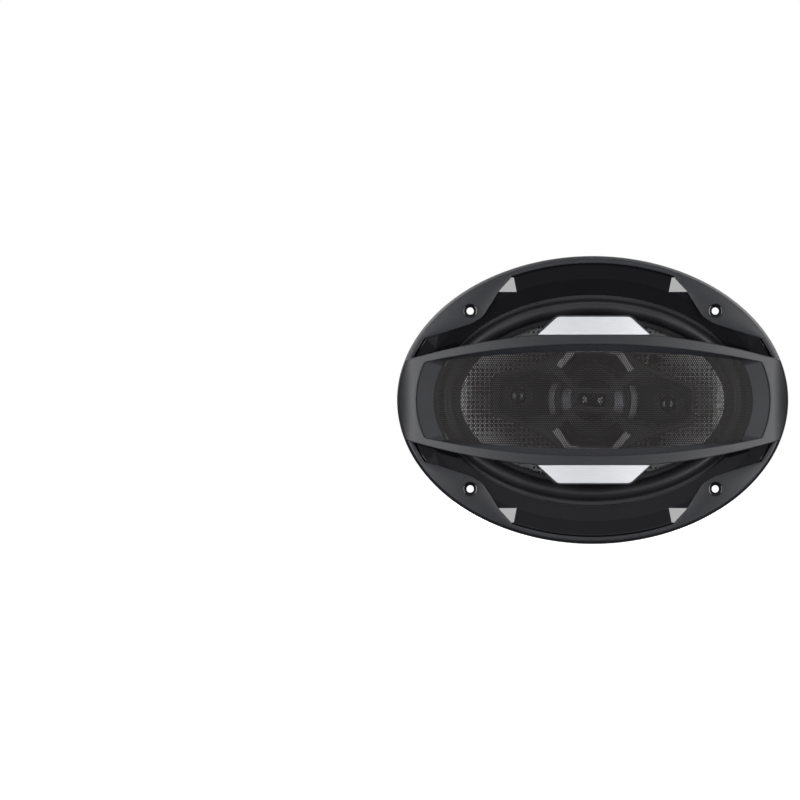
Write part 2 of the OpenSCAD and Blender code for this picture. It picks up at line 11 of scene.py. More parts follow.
import bmesh
import bpy
import numpy as np
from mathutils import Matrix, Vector


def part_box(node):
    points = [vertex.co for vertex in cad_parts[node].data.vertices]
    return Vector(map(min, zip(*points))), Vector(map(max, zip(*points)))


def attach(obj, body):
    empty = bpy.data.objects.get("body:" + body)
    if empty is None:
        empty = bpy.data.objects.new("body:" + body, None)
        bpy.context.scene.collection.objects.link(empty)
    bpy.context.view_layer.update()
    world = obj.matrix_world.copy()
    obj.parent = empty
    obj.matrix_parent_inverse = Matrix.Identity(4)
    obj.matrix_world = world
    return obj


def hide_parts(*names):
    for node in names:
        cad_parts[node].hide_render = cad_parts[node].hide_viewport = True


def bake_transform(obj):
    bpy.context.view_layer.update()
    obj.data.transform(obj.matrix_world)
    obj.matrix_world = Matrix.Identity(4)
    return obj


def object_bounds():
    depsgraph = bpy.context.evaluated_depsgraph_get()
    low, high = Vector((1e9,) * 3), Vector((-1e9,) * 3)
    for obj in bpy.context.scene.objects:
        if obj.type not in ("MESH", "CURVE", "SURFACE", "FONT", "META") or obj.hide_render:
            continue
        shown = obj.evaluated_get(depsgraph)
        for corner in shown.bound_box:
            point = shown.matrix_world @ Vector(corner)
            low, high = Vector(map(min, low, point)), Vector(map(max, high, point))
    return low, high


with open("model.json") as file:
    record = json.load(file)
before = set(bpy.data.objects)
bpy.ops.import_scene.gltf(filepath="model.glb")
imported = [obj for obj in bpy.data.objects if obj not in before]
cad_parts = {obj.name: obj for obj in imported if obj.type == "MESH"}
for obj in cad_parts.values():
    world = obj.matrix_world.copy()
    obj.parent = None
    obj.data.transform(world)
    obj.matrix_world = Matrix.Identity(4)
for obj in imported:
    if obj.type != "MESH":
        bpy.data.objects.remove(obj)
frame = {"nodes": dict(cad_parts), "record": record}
cad_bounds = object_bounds()

MM = 0.001
FULL_TURN = 2 * math.pi
UPPER_LOWER = (("upper", 1), ("lower", -1))
LEFT_RIGHT = (("left", -1), ("right", 1))


def size_of(node):
    """Half sizes and depths of a CAD node, in the flat frame."""
    low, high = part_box(node)
    return SimpleNamespace(
        a=max(-low.x, high.x) / MM,
        b=max(-low.z, high.z) / MM,
        back=-high.y / MM,
        front=-low.y / MM,
    )


# Sizes read off the frame
GASKET = size_of("gasket")
RING = size_of("grille_ring")
BRIDGE = size_of("grille_bridge")
POD = size_of("pod_frame")
CONE = size_of("cone")

# Sizes that the design gives
STEEL = 1.5
HOLE_X, HOLE_Y = 85.0, 61.7
SLOT_W, SLOT_LEN, SLOT_ANGLE = 6.5, 9.5, 53.0
LONG_ARC_R, LONG_ARC_DROP = 217.0, 133.4
END_ARC_R = 63.5
EAR_R, EAR_X, EAR_Y = 5.9, 84.5, 62.3
SLANT_LOW, SLANT_HIGH = (104.8, 38.1), (80.0, 82.8)
GASKET_A, GASKET_B = 111.0, 74.5
RIM_A, RIM_B = 108.0, 71.5
CONE_A, CONE_B = 94.0, 58.0
LEDGE_R, LEDGE_Z, WELL_R, WELL_Z = 51.0, -36.0, 44.5, -47.5
NECK_R, NECK_Z = 17.1, -31.0
POD_TURN = math.radians(-3)
TWEETER_X = 52.0
RIM_W = 5.0
OPENING_A, OPENING_B = 108.0, 73.0
BOW_R = 545.0
EAR_FRONT = 11.0
LANDING_X, LANDING_Y = 119.0, 28.0
BOSS_R = 6.6
WINDOW_X, WINDOW_Y, WINDOW_END_R, WINDOW_ARC_R = 122.5, 38.5, 60.0, 558.0
WINDOW_SHAPE = (WINDOW_X, WINDOW_Y, WINDOW_END_R, WINDOW_ARC_R)
MESH_X, MESH_Y, MESH_END_R, MESH_ARC_R = 110.5, 33.8, 50.0, 860.0
MESH_SHAPE = (MESH_X, MESH_Y, MESH_END_R, MESH_ARC_R)
MESH_PITCH, MESH_HOLE_R, MESH_THICK = 1.55, 0.53, 0.3
BRIDGE_ARC_R, BRIDGE_HALF, BRIDGE_END_R = 457.0, 46.6, 23.5
SHEET_DEPTH = 4.0

# Finish of the cone's film
PRINT_A, PRINT_B = 92.0, 56.0
DOT_PITCH = 3.25
DOT_EDGE = (0.35, 0.41)


# ---------------------------------------------------------------- meshes


def stand(points):
    """Flat-frame millimetres to metres in the frame, facing -Y."""
    p = np.asarray(points, float).reshape(-1, 3)
    return np.column_stack([p[:, 0], -p[:, 2], p[:, 1]]) * MM


def turned(points):
    """Points of the pod, turned with it on its post."""
    p = np.asarray(points, float).reshape(-1, 3)
    c, s = math.cos(POD_TURN), math.sin(POD_TURN)
    return np.column_stack([p[:, 0] * c - p[:, 1] * s, p[:, 0] * s + p[:, 1] * c, p[:, 2]])


def around(count):
    """Evenly spaced angles all round."""
    return np.linspace(0, FULL_TURN, count, endpoint=False)


def arc(x, z, wide, high, start, end, count):
    """Points of an oval arc in a profile."""
    return [(x + wide * math.cos(t), z + high * math.sin(t)) for t in np.linspace(start, end, count)]


def grid_faces(rows, cols, wrap_rows=False, wrap_cols=False):
    i, j = np.meshgrid(
        np.arange(rows if wrap_rows else rows - 1),
        np.arange(cols if wrap_cols else cols - 1),
        indexing="ij",
    )
    i2, j2 = (i + 1) % rows, (j + 1) % cols
    corners = [i * cols + j, i2 * cols + j, i2 * cols + j2, i * cols + j2]
    return np.stack(corners, -1).reshape(-1, 4).tolist()


def add_object(name, data):
    obj = bpy.data.objects.new(name, data)
    bpy.context.scene.collection.objects.link(obj)
    return obj


def new_mesh(name, points, faces):
    mesh = bpy.data.meshes.new(name)
    mesh.from_pydata(stand(points).tolist(), [], faces)
    clean(mesh)
    return mesh


def clean(mesh):
    """Joins double points, drops faces with no area and turns all faces outwards."""
    bm = bmesh.new()
    bm.from_mesh(mesh)
    bmesh.ops.remove_doubles(bm, verts=bm.verts, dist=2e-6)
    bmesh.ops.dissolve_degenerate(bm, edges=bm.edges, dist=1e-7)
    bmesh.ops.recalc_face_normals(bm, faces=bm.faces)
    bm.to_mesh(mesh)
    bm.free()


def piece(name, points, faces, look, body="frame", replaces=(), sharp=35.0):
    """A finished object made of those faces, which rides on a body. look is a key of LOOKS."""
    return dress(name, new_mesh(name, points, faces), look, body, replaces, sharp)


def dress(name, mesh, look, body="frame", replaces=(), sharp=35.0):
    obj = add_object(name, mesh)
    mesh.materials.clear()
    mesh.materials.append(LOOKS[look])
    mesh.shade_smooth()
    mesh.set_sharp_from_angle(angle=math.radians(sharp))
    if body:
        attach(obj, body)
    if replaces:
        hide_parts(*replaces)
    return obj


def closed_loops(name, loops, look, turn=False, **more):
    """A ring-shaped piece from closed cross-sections, given as an array (section, point, 3)."""
    loops = np.asarray(loops, float)
    points = turned(loops) if turn else loops.reshape(-1, 3)
    return piece(name, points, grid_faces(*loops.shape[:2], True, True), look, **more)


def ring(name, rows, look, **more):
    """A ring-shaped piece from outlines with heights, joined in order and back to the first."""
    return closed_loops(name, np.stack(rows, 1), look, **more)


def stepped(rows):
    """Outlines with heights, from (outline, distance inwards, height)."""
    return [layer(inset(outline, distance), z) for outline, distance, z in rows]


def capped_faces(rows, cols):
    faces = grid_faces(rows, cols, False, True)
    faces.append(list(range(cols)))
    faces.append([(rows - 1) * cols + j for j in range(cols)])
    return faces


def open_loops(name, loops, look, turn=False, **more):
    """A bar-shaped piece from closed cross-sections, with a flat cap on each end."""
    loops = np.asarray(loops, float)
    points = turned(loops) if turn else loops.reshape(-1, 3)
    return piece(name, points, capped_faces(*loops.shape[:2]), look, **more)


def filleted(points, radius, steps=4):
    """A closed outline with its corners rounded. radius is one number, or one for each corner."""
    p = [np.array(q, float) for q in points]
    radii = radius if hasattr(radius, "__len__") else [radius] * len(p)
    out = []
    for i, (corner, r) in enumerate(zip(p, radii)):
        before, after = p[i - 1] - corner, p[(i + 1) % len(p)] - corner
        reach_back = min(r, 0.45 * np.linalg.norm(before))
        reach_on = min(r, 0.45 * np.linalg.norm(after))
        if r <= 0:
            out.append(corner)
            continue
        start = corner + before / np.linalg.norm(before) * reach_back
        end = corner + after / np.linalg.norm(after) * reach_on
        for t in np.linspace(0, 1, steps + 1):
            out.append((1 - t) ** 2 * start + 2 * t * (1 - t) * corner + t * t * end)
    return np.array(out)


def lathe(name, profile, look, centre=(0, 0), sides=192, **more):
    """A piece turned about z from a closed (radius, z) profile."""
    angle = around(sides)[:, None]
    r, z = np.array(profile, float).T
    loops = np.stack([centre[0] + r * np.cos(angle), centre[1] + r * np.sin(angle), z + 0 * angle], -1)
    return closed_loops(name, loops, look, **more)


def oval_sweep(name, profile, a, b, look, sides=288, **more):
    """A ring from a closed (offset, z) profile, the offset being outwards from the oval a x b."""
    angle = around(sides)[:, None]
    d, z = np.array(profile, float).T
    loops = np.stack([(a + d) * np.cos(angle), (b + d) * np.sin(angle), z + 0 * angle], -1)
    return closed_loops(name, loops, look, **more)


def oval_reach(a, b, angle):
    """Distance from the middle of an oval to its edge, along each angle."""
    return 1 / np.hypot(np.cos(angle) / a, np.sin(angle) / b)


def reach(inside, angle, far=170.0):
    """Distance from the middle to the edge of a shape, along each angle."""
    low, high = np.zeros_like(angle), np.full_like(angle, far)
    for _ in range(30):
        middle = (low + high) / 2
        within = inside(middle * np.cos(angle), middle * np.sin(angle))
        low, high = np.where(within, middle, low), np.where(within, high, middle)
    return low


def polar(radius, angle):
    return np.column_stack([radius * np.cos(angle), radius * np.sin(angle)])


def inset(outline, distance):
    """A counter-clockwise outline moved inwards by a distance."""
    along = np.roll(outline, -1, 0) - np.roll(outline, 1, 0)
    inwards = np.column_stack([-along[:, 1], along[:, 0]])
    inwards /= np.linalg.norm(inwards, axis=1, keepdims=True)
    return outline + inwards * np.reshape(distance, (-1, 1))


def layer(outline, z):
    """An outline with a height, which may be one number or one for each point."""
    return np.column_stack([outline, np.broadcast_to(z, len(outline))])


def in_polygon(points, x, y):
    inside = np.zeros(np.shape(x), bool)
    for (x1, y1), (x2, y2) in zip(points, points[1:] + points[:1]):
        if y1 != y2:
            crosses = (y1 > y) != (y2 > y)
            inside ^= crosses & (x < (x2 - x1) * (y - y1) / (y2 - y1) + x1)
    return inside


def carve(obj, cutters):
    """Cuts temporary solids out of a piece, before it is used."""
    for solid in cutters:
        tool = obj.modifiers.new("cut", "BOOLEAN")
        tool.operation = "DIFFERENCE"
        tool.solver = "EXACT"
        tool.object = solid
    bpy.context.view_layer.update()
    dg = bpy.context.evaluated_depsgraph_get()
    cut = bpy.data.meshes.new_from_object(obj.evaluated_get(dg))
    obj.modifiers.clear()
    obj.data = cut
    cut.shade_smooth()
    cut.set_sharp_from_angle(angle=math.radians(35))
    for solid in cutters:
        bpy.data.objects.remove(solid)


def cutter(outlines):
    """A temporary solid from outlines with heights, joined in order and capped."""
    loops = np.asarray(outlines, float)
    mesh = new_mesh("cutter", loops.reshape(-1, 3), capped_faces(*loops.shape[:2]))
    return add_object("cutter", mesh)


def circle(r, x=0.0, y=0.0, sides=48):
    angle = around(sides)
    return polar(np.full_like(angle, r), angle) + (x, y)


def smooth_route(points, steps):
    """The CAD's own smooth curve through a list of points."""
    p = np.array(points, float)
    out = []
    for i in range(len(p) - 1):
        a, b = p[max(i - 1, 0)], p[i]
        c, d = p[i + 1], p[min(i + 2, len(p) - 1)]
        for t in np.arange(steps) / steps:
            cubic = 3 * b - a - 3 * c + d
            out.append(0.5 * (2 * b + (c - a) * t + (2 * a - 5 * b + 4 * c - d) * t**2 + cubic * t**3))
    out.append(p[-1])
    return np.array(out)


def tube(name, route, radius, side, look, sides=12, **more):
    """A round wire along a route. side is a direction that the route never follows."""
    along = np.gradient(route, axis=0)
    along /= np.linalg.norm(along, axis=1, keepdims=True)
    u = np.cross(along, side)
    u /= np.linalg.norm(u, axis=1, keepdims=True)
    v = np.cross(along, u)
    turn = around(sides)[None, :, None]
    loops = route[:, None] + radius * (np.cos(turn) * u[:, None] + np.sin(turn) * v[:, None])
    return open_loops(name, loops, look, **more)


# ---------------------------------------------------------------- materials


def shader(name, colour, roughness, metallic=0.0, ior=1.5):
    material = bpy.data.materials.new(name)
    material.use_nodes = True
    surface = surface_of(material)
    surface.inputs["Base Color"].default_value = (*colour, 1)
    surface.inputs["Roughness"].default_value = roughness
    surface.inputs["Metallic"].default_value = metallic
    surface.inputs["IOR"].default_value = ior
    return material


def add(material, kind, **settings):
    node = material.node_tree.nodes.new(kind)
    for key, value in settings.items():
        if key in node.inputs:
            node.inputs[key].default_value = value
        else:
            setattr(node, key, value)
    return node


def link(material, source, target):
    material.node_tree.links.new(source, target)


def surface_of(material):
    return material.node_tree.nodes["Principled BSDF"]


def over_piece(material, kind, **settings):
    """A node that takes the place on the piece."""
    node = add(material, kind, **settings)
    place = add(material, "ShaderNodeTexCoord")
    link(material, place.outputs["Object"], node.inputs["Vector"])
    return node


def noise(material, scale, detail=3.0, stretch=(1, 1, 1)):
    """Noise over the piece, with scale in features per metre."""
    mapping = over_piece(material, "ShaderNodeMapping", Scale=stretch)
    grain = add(material, "ShaderNodeTexNoise", Scale=scale, Detail=detail)
    link(material, mapping.outputs["Vector"], grain.inputs["Vector"])
    return grain.outputs["Fac"]


def spread(material, factor, low, high, from_low=0.3, from_high=0.7):
    """Turns a factor into a number between low and high."""
    ends = {"From Min": from_low, "From Max": from_high, "To Min": low, "To Max": high}
    node = add(material, "ShaderNodeMapRange", **ends)
    link(material, factor, node.inputs["Value"])
    return node.outputs["Result"]


def two_tones(material, factor, dark, light, from_low=0.3, from_high=0.7):
    ramp = add(material, "ShaderNodeValToRGB")
    ramp.color_ramp.elements[0].position = from_low
    ramp.color_ramp.elements[1].position = from_high
    ramp.color_ramp.elements[0].color = (*dark, 1)
    ramp.color_ramp.elements[1].color = (*light, 1)
    link(material, factor, ramp.inputs["Fac"])
    link(material, ramp.outputs["Color"], surface_of(material).inputs["Base Color"])


def rough_between(material, factor, low, high, from_low=0.3, from_high=0.7):
    roughness = spread(material, factor, low, high, from_low, from_high)
    link(material, roughness, surface_of(material).inputs["Roughness"])


def relief(material, height, strength, depth):
    """Bump of a real depth in millimetres."""
    bump = add(material, "ShaderNodeBump", Strength=strength, Distance=depth * MM)
    link(material, height, bump.inputs["Height"])
    link(material, bump.outputs["Normal"], surface_of(material).inputs["Normal"])


def tinted(colour, factor):
    return tuple(min(1.0, c * factor) for c in colour)


def plain(name, colour, roughness, metallic=0.0, grain=700, depth=0.02, change=0.12, **more):
    """A finish with a fine grain and slightly uneven colour and gloss."""
    material = shader(name, colour, roughness, metallic, **more)
    fine = noise(material, grain, 4)
    broad = noise(material, 35, 2)
    two_tones(material, broad, tinted(colour, 1 - change), tinted(colour, 1 + change))
    rough_between(material, fine, roughness * 0.92, min(1.0, roughness * 1.1))
    relief(material, fine, 0.35, depth)
    return material


def gasket_finish():
    """Crinkled, leather-like face, with painted shade darkening its creases."""
    material = shader("gasket_leather", (0.03, 0.031, 0.035), 0.55)
    warp = over_piece(material, "ShaderNodeTexNoise", Scale=260, Detail=2)
    shift = add(material, "ShaderNodeVectorMath", operation="SCALE", Scale=0.0016)
    moved = over_piece(material, "ShaderNodeVectorMath", operation="ADD")
    cells = add(material, "ShaderNodeTexVoronoi", Scale=820, feature="SMOOTH_F1", Smoothness=0.35)
    link(material, warp.outputs["Color"], shift.inputs[0])
    link(material, shift.outputs[0], moved.inputs[1])
    link(material, moved.outputs[0], cells.inputs["Vector"])
    height = cells.outputs["Distance"]
    # painted shade: the raised cell tops are coloured lighter and the sunken creases between the cells
    # darker
    two_tones(material, height, (0.040, 0.041, 0.047), (0.016, 0.016, 0.019), 0.1, 0.6)
    rough_between(material, height, 0.42, 0.75, 0.1, 0.6)
    relief(material, height, 1.0, -0.45)
    return material


def maths(material, operation, *values):
    """The result of a sum on numbers and on other nodes' results."""
    node = add(material, "ShaderNodeMath", operation=operation)
    for socket, value in zip(node.inputs, values):
        if isinstance(value, float):
            socket.default_value = value
        else:
            link(material, value, socket)
    return node.outputs[0]


def squared(material, value):
    return maths(material, "MULTIPLY", value, value)


def x_and_z(material, vector):
    apart = add(material, "ShaderNodeSeparateXYZ")
    link(material, vector, apart.inputs[0])
    return apart.outputs["X"], apart.outputs["Z"]


def printed_fade(material, x, z):
    """1 where the cone's dots have shrunk to nothing: near the edge, on the four diagonals."""
    along = squared(material, maths(material, "MULTIPLY", x, 1 / (PRINT_A * MM)))
    up = squared(material, maths(material, "MULTIPLY", z, 1 / (PRINT_B * MM)))
    total = maths(material, "ADD", along, up)
    gap = maths(material, "ABSOLUTE", maths(material, "SUBTRACT", along, up))
    diagonal = spread(material, maths(material, "DIVIDE", gap, total), 1, 0, 0.25, 0.72)
    return maths(material, "MULTIPLY", diagonal, spread(material, total, 0, 1, 0.48, 0.74))


def cone_finish():
    """Silver film with a square grid of small mirror dots."""
    material = shader("cone_film", (0.6, 0.6, 0.6), 0.4, metallic=0.75)
    x, z = x_and_z(material, add(material, "ShaderNodeTexCoord").outputs["Object"])
    squares = []
    for place in (x, z):
        cell = maths(material, "FRACT", maths(material, "MULTIPLY", place, 1 / (DOT_PITCH * MM)))
        squares.append(squared(material, maths(material, "SUBTRACT", cell, 0.5)))
    distance = maths(material, "SQRT", maths(material, "ADD", *squares))
    from_dot = maths(material, "MULTIPLY_ADD", printed_fade(material, x, z), 0.45, distance)
    two_tones(material, from_dot, (0.13, 0.13, 0.135), (0.58, 0.585, 0.59), *DOT_EDGE)
    rough_between(material, from_dot, 0.13, 0.46, *DOT_EDGE)
    relief(material, spread(material, from_dot, 1, 0, 0.34, 0.42), 0.3, 0.05)
    return material


def brushed(name, colour, roughness, stretch, metallic=1.0):
    """Metal with fine lines along one direction."""
    material = shader(name, colour, roughness, metallic)
    lines = noise(material, 260, 5, stretch)
    two_tones(material, lines, tinted(colour, 0.92), tinted(colour, 1.06))
    rough_between(material, lines, roughness * 0.9, roughness * 1.12)
    relief(material, lines, 0.1, 0.006)
    return material


def woven(name, dark, light):
    """Open plain-weave cloth, stiffened with resin."""
    material = shader(name, light, 0.6)
    threads = []
    for direction in ("X", "Z"):
        wave = over_piece(material, "ShaderNodeTexWave", bands_direction=direction, Scale=330)
        threads.append(wave.outputs["Fac"])
    both = maths(material, "MULTIPLY", *threads)
    two_tones(material, both, dark, light, 0.1, 0.7)
    relief(material, both, 0.8, 0.2)
    return material


def braided(name, dark, light, scale):
    """Twisted fine strands."""
    material = shader(name, light, 0.42, metallic=0.4)
    settings = {"bands_direction": "DIAGONAL", "Scale": scale, "Distortion": 1.0}
    wave = over_piece(material, "ShaderNodeTexWave", **settings)
    two_tones(material, wave.outputs["Fac"], dark, light, 0.15, 0.8)
    relief(material, wave.outputs["Fac"], 0.7, 0.15)
    return material


LOOKS = {
    "black_paint": plain("basket_paint", (0.020, 0.021, 0.024), 0.42, grain=1500, depth=0.04),
    "gasket": gasket_finish(),
    "rubber": plain("rubber", (0.011, 0.011, 0.0125), 0.36, grain=900, depth=0.012),
    "steel": brushed("zinc_plate", (0.55, 0.56, 0.57), 0.33, (1, 1, 12)),
    "ferrite": plain("ferrite", (0.045, 0.044, 0.046), 0.6, grain=1300, depth=0.08, change=0.25),
    "board": plain("phenolic_board", (0.16, 0.09, 0.045), 0.5, grain=500, change=0.25),
    "brass": brushed("brass_tab", (0.72, 0.51, 0.23), 0.25, (1, 20, 1)),
    "tinned": brushed("tinned_tab", (0.72, 0.72, 0.72), 0.28, (1, 20, 1)),
    "cone": cone_finish(),
    "former": plain("amber_film", (0.45, 0.26, 0.09), 0.4, change=0.2),
    "copper": brushed("enamelled_copper", (0.62, 0.28, 0.13), 0.3, (1, 90, 1)),
    "cloth": woven("spider_cloth", (0.28, 0.13, 0.03), (0.56, 0.31, 0.10)),
    "braid": braided("tinsel_braid", (0.22, 0.12, 0.06), (0.62, 0.40, 0.24), 420),
    "lead": braided("lead_sleeve", (0.40, 0.37, 0.30), (0.62, 0.58, 0.49), 500),
    "glue": plain("black_adhesive", (0.006, 0.006, 0.007), 0.12, grain=260, depth=0.25, ior=1.6),
    "pod_black": plain("pod_moulding", (0.013, 0.0135, 0.016), 0.30, grain=900, depth=0.01),
    "pod_grey": plain("pod_satin", (0.050, 0.051, 0.057), 0.40, grain=1400, depth=0.02),
    "trim": plain(
        "satin_trim", (0.52, 0.515, 0.51), 0.40, metallic=0.25, grain=1500, depth=0.008, change=0.02
    ),
    "silver_plastic": plain(
        "silver_paint", (0.125, 0.128, 0.138), 0.33, metallic=1.0, grain=1800, depth=0.006
    ),
    "dome": plain("dome_film", (0.075, 0.077, 0.083), 0.10, metallic=1.0, grain=300, depth=0.002),
    "sleeve": plain("capacitor_sleeve", (0.03, 0.06, 0.16), 0.3),
    "charcoal": plain(
        "charcoal_satin", (0.0115, 0.012, 0.0145), 0.42, grain=1600, depth=0.012, ior=1.41
    ),
    "gloss_black": plain("piano_black", (0.004, 0.004, 0.005), 0.07, grain=120, depth=0.004, ior=1.6),
    "mesh": plain("mesh_paint", (0.0105, 0.0092, 0.0090), 0.55, grain=1500, depth=0.01, ior=1.26),
    "badge": brushed("badge_metal", (0.60, 0.61, 0.63), 0.36, (0.5, 1, 22), metallic=0.6),
}


def keep_cad_nodes():
    """Every node keeps its shape and gets the finish of its slot, unless a piece replaces it."""
    for part in frame["record"]["subparts"]:
        mesh = frame["nodes"][part["node"]].data
        mesh.materials.clear()
        mesh.materials.append(LOOKS[part["material_slot"]])


# ---------------------------------------------------------------- flange, gasket and basket


def in_flange(x, y):
    ax, ay = np.abs(x), np.abs(y)
    arcs = ax**2 + (ay + LONG_ARC_DROP) ** 2 < LONG_ARC_R**2
    ends = (ax - GASKET.a + END_ARC_R) ** 2 + ay**2 < END_ARC_R**2
    fall = (SLANT_HIGH[1] - SLANT_LOW[1]) * (ax - SLANT_LOW[0])
    slant = fall + (SLANT_LOW[0] - SLANT_HIGH[0]) * (ay - SLANT_LOW[1]) < 0
    ears = (ax - EAR_X) ** 2 + (ay - EAR_Y) ** 2 < EAR_R**2
    return (arcs & (ends | (slant & (ax < SLANT_LOW[0])))) | ears


def flange_angles():
    """Angles all round, closer together at the four ears."""
    ear = math.atan2(EAR_Y, EAR_X)
    ears = [ear, math.pi - ear, math.pi + ear, FULL_TURN - ear]
    near = [e + t for e in ears for t in np.linspace(-0.09, 0.09, 60)]
    even = around(480)
    even = [t for t in even if min(abs(t - e) for e in ears) > 0.095]
    return np.sort(near + even)


def slot_outline(sx, sy, grow=0.0):
    """A mounting slot's outline, made larger by grow."""
    r = SLOT_W / 2 + grow
    half = (SLOT_LEN - SLOT_W) / 2
    ends = [np.linspace(-90, 90, 14), np.linspace(90, 270, 14)]
    p = [
        (s * half + r * math.cos(math.radians(t)), r * math.sin(math.radians(t)))
        for s, end in zip((1, -1), ends)
        for t in end
    ]
    turn = math.radians(sx * sy * SLOT_ANGLE)
    c, s = math.cos(turn), math.sin(turn)
    return np.array([(sx * HOLE_X + x * c - y * s, sy * HOLE_Y + x * s + y * c) for x, y in p])


CORNERS = [(sx, sy) for sx in (-1, 1) for sy in (-1, 1)]


def slot_cutters(low, high):
    return [cutter([layer(slot_outline(*c), low), layer(slot_outline(*c), high)]) for c in CORNERS]


def make_gasket():
    angle = flange_angles()
    outer = polar(reach(in_flange, angle), angle)
    inner = polar(oval_reach(GASKET_A, GASKET_B, angle), angle)
    top = GASKET.front
    rows = [
        (inner, 0, STEEL), (inner, 0, top - 1.6), (inner, -0.35, top - 0.7), (inner, -1.0, top - 0.2),
        (inner, -2.0, top), ((inner + outer) / 2, 0, top), (outer, 1.6, top), (outer, 0.7, top - 0.25),
        (outer, 0.2, top - 0.8), (outer, 0, top - 1.5), (outer, 0, STEEL),
    ]
    gasket = ring("gasket_ring", stepped(rows), "gasket", replaces=["gasket"])
    carve(gasket, slot_cutters(0, 10))
    for i, corner in enumerate(CORNERS):
        rim = [(1.3, -0.3), (1.3, 0.02), (0.9, 0.12), (0.25, 0.1), (0, -0.2), (0, -0.6)]
        rows = [layer(slot_outline(*corner, grow=g), top + z) for g, z in rim]
        ring(f"slot_rim_{i + 1}", rows, "rubber")


def make_flange():
    angle = flange_angles()
    outer = polar(reach(in_flange, angle), angle)
    inner = polar(oval_reach(RIM_A, RIM_B, angle), angle)
    rows = [
        (inner, 0, 0), (inner, 0, STEEL), (outer, 0.25, STEEL), (outer, 0, STEEL - 0.25),
        (outer, 0, 0.25), (outer, 0.25, 0),
    ]
    flange = ring("basket_flange", stepped(rows), "black_paint", replaces=["basket"])
    carve(flange, slot_cutters(-3, 5))


def bowl_point(angle, t):
    """The stamped bowl's outer face: t is 0 at the ledge and 1 at the flange."""
    r = LEDGE_R + (oval_reach(RIM_A, RIM_B, angle) - LEDGE_R) * t
    z = LEDGE_Z * (1 - t) + 2.2 * np.sin(FULL_TURN * t)
    rib = np.cos(8 * (angle - math.pi / 8) / 2) ** 16 * np.sin(math.pi * np.clip(t, 0, 1)) ** 0.6
    return np.stack([r * np.cos(angle), r * np.sin(angle), z - 1.6 * rib], -1)


def bowl_sector(middle):
    """One eighth of the bowl, from spoke to spoke, around a window with round corners."""
    turn = around(96)
    c, s = np.cos(turn), np.sin(turn)
    square = 1 / np.maximum(np.abs(c), np.abs(s))
    edge_u, edge_v = c * square, s * square
    soft = (np.abs(c) ** 7 + np.abs(s) ** 7) ** (-1 / 7)
    hole_u, hole_v = 0.70 * c * soft, 0.70 * s * soft
    rows = []
    for k in np.linspace(0, 1, 9):
        u = edge_u + (hole_u - edge_u) * k
        v = edge_v + (hole_v - edge_v) * k
        t = 0.5 + 0.5 * v - 0.03 * (1 - v * v) * k
        narrow = 1 - 0.10 * (t - 0.5) * k
        rows.append(bowl_point(middle + u * narrow * math.pi / 8, t))
    return np.array(rows)


def make_bowl():
    """The bowl's eight sectors as one sheet with eight windows."""
    points, faces = [], []
    for i in range(8):
        sector = bowl_sector(i * math.pi / 4)
        rows, cols = sector.shape[:2]
        base = len(points) * rows * cols
        points.append(sector.reshape(-1, 3))
        faces += [[base + k for k in f] for f in grid_faces(rows, cols, False, True)]
    mesh = new_mesh("basket_bowl", np.concatenate(points), faces)
    bowl = dress("basket_bowl", mesh, "black_paint", sharp=50)
    thicken(bowl, STEEL, 0)


def thicken(obj, thickness, offset):
    """Gives a sheet its real thickness."""
    wall = obj.modifiers.new("wall", "SOLIDIFY")
    wall.thickness = thickness * MM
    wall.offset = offset
    wall.use_even_offset = True


def make_well():
    """The ledge that the spider is glued to, the wall behind it and the floor on the front plate."""
    profile = filleted(
        [
            (LEDGE_R + 1.2, LEDGE_Z + 0.6), (LEDGE_R - 1, LEDGE_Z), (WELL_R, LEDGE_Z),
            (WELL_R - STEEL, LEDGE_Z - 0.6), (WELL_R - STEEL, WELL_Z + STEEL), (19.5, WELL_Z + STEEL),
            (19.5, WELL_Z), (WELL_R, WELL_Z), (WELL_R, LEDGE_Z - STEEL),
            (LEDGE_R - 0.6, LEDGE_Z - STEEL), (LEDGE_R + 1.6, LEDGE_Z - 0.8),
        ],
        [0, 1, 1.2, 1, 1, 0.2, 0.2, 1.6, 1, 1, 0],
    )
    lathe("basket_well", profile, "black_paint")


def make_boot():
    boot = size_of("magnet_boot")
    r, back, front = boot.a, boot.back, boot.front
    profile = filleted(
        [
            (30, back), (33, back), (33.6, back + 0.5), (38, back + 0.5), (38.6, back),
            (r - 3, back), (r, back + 3), (r, front - 6), (r - 0.5, front - 5.6),
            (r - 0.5, front - 4.4), (r, front - 4), (r, front - 0.6),
            (r - 1.75, front), (r - 1.75, back + 1.8), (30, back + 1.8),
        ],
        [0.2, 0.3, 0.3, 0.3, 0.3, 2, 2, 0.3, 0.3, 0.3, 0.3, 0.6, 0.2, 0.2, 0.2],
    )
    lathe("magnet_boot_skin", profile, "rubber", replaces=["magnet_boot"])


# ---------------------------------------------------------------- cone, surround and spider


def flex(obj, share):
    """Bakes obj's placement into its points and works out a weight for each point from share(x, y),
    which is 0 where it is glued to the frame. The weight is not used further.
    """
    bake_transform(obj)
    co = np.array([v.co for v in obj.data.vertices], float)
    weight = np.clip(share(co[:, 0] / MM, co[:, 2] / MM), 0, 1)
    weight = weight * weight * (3 - 2 * weight)


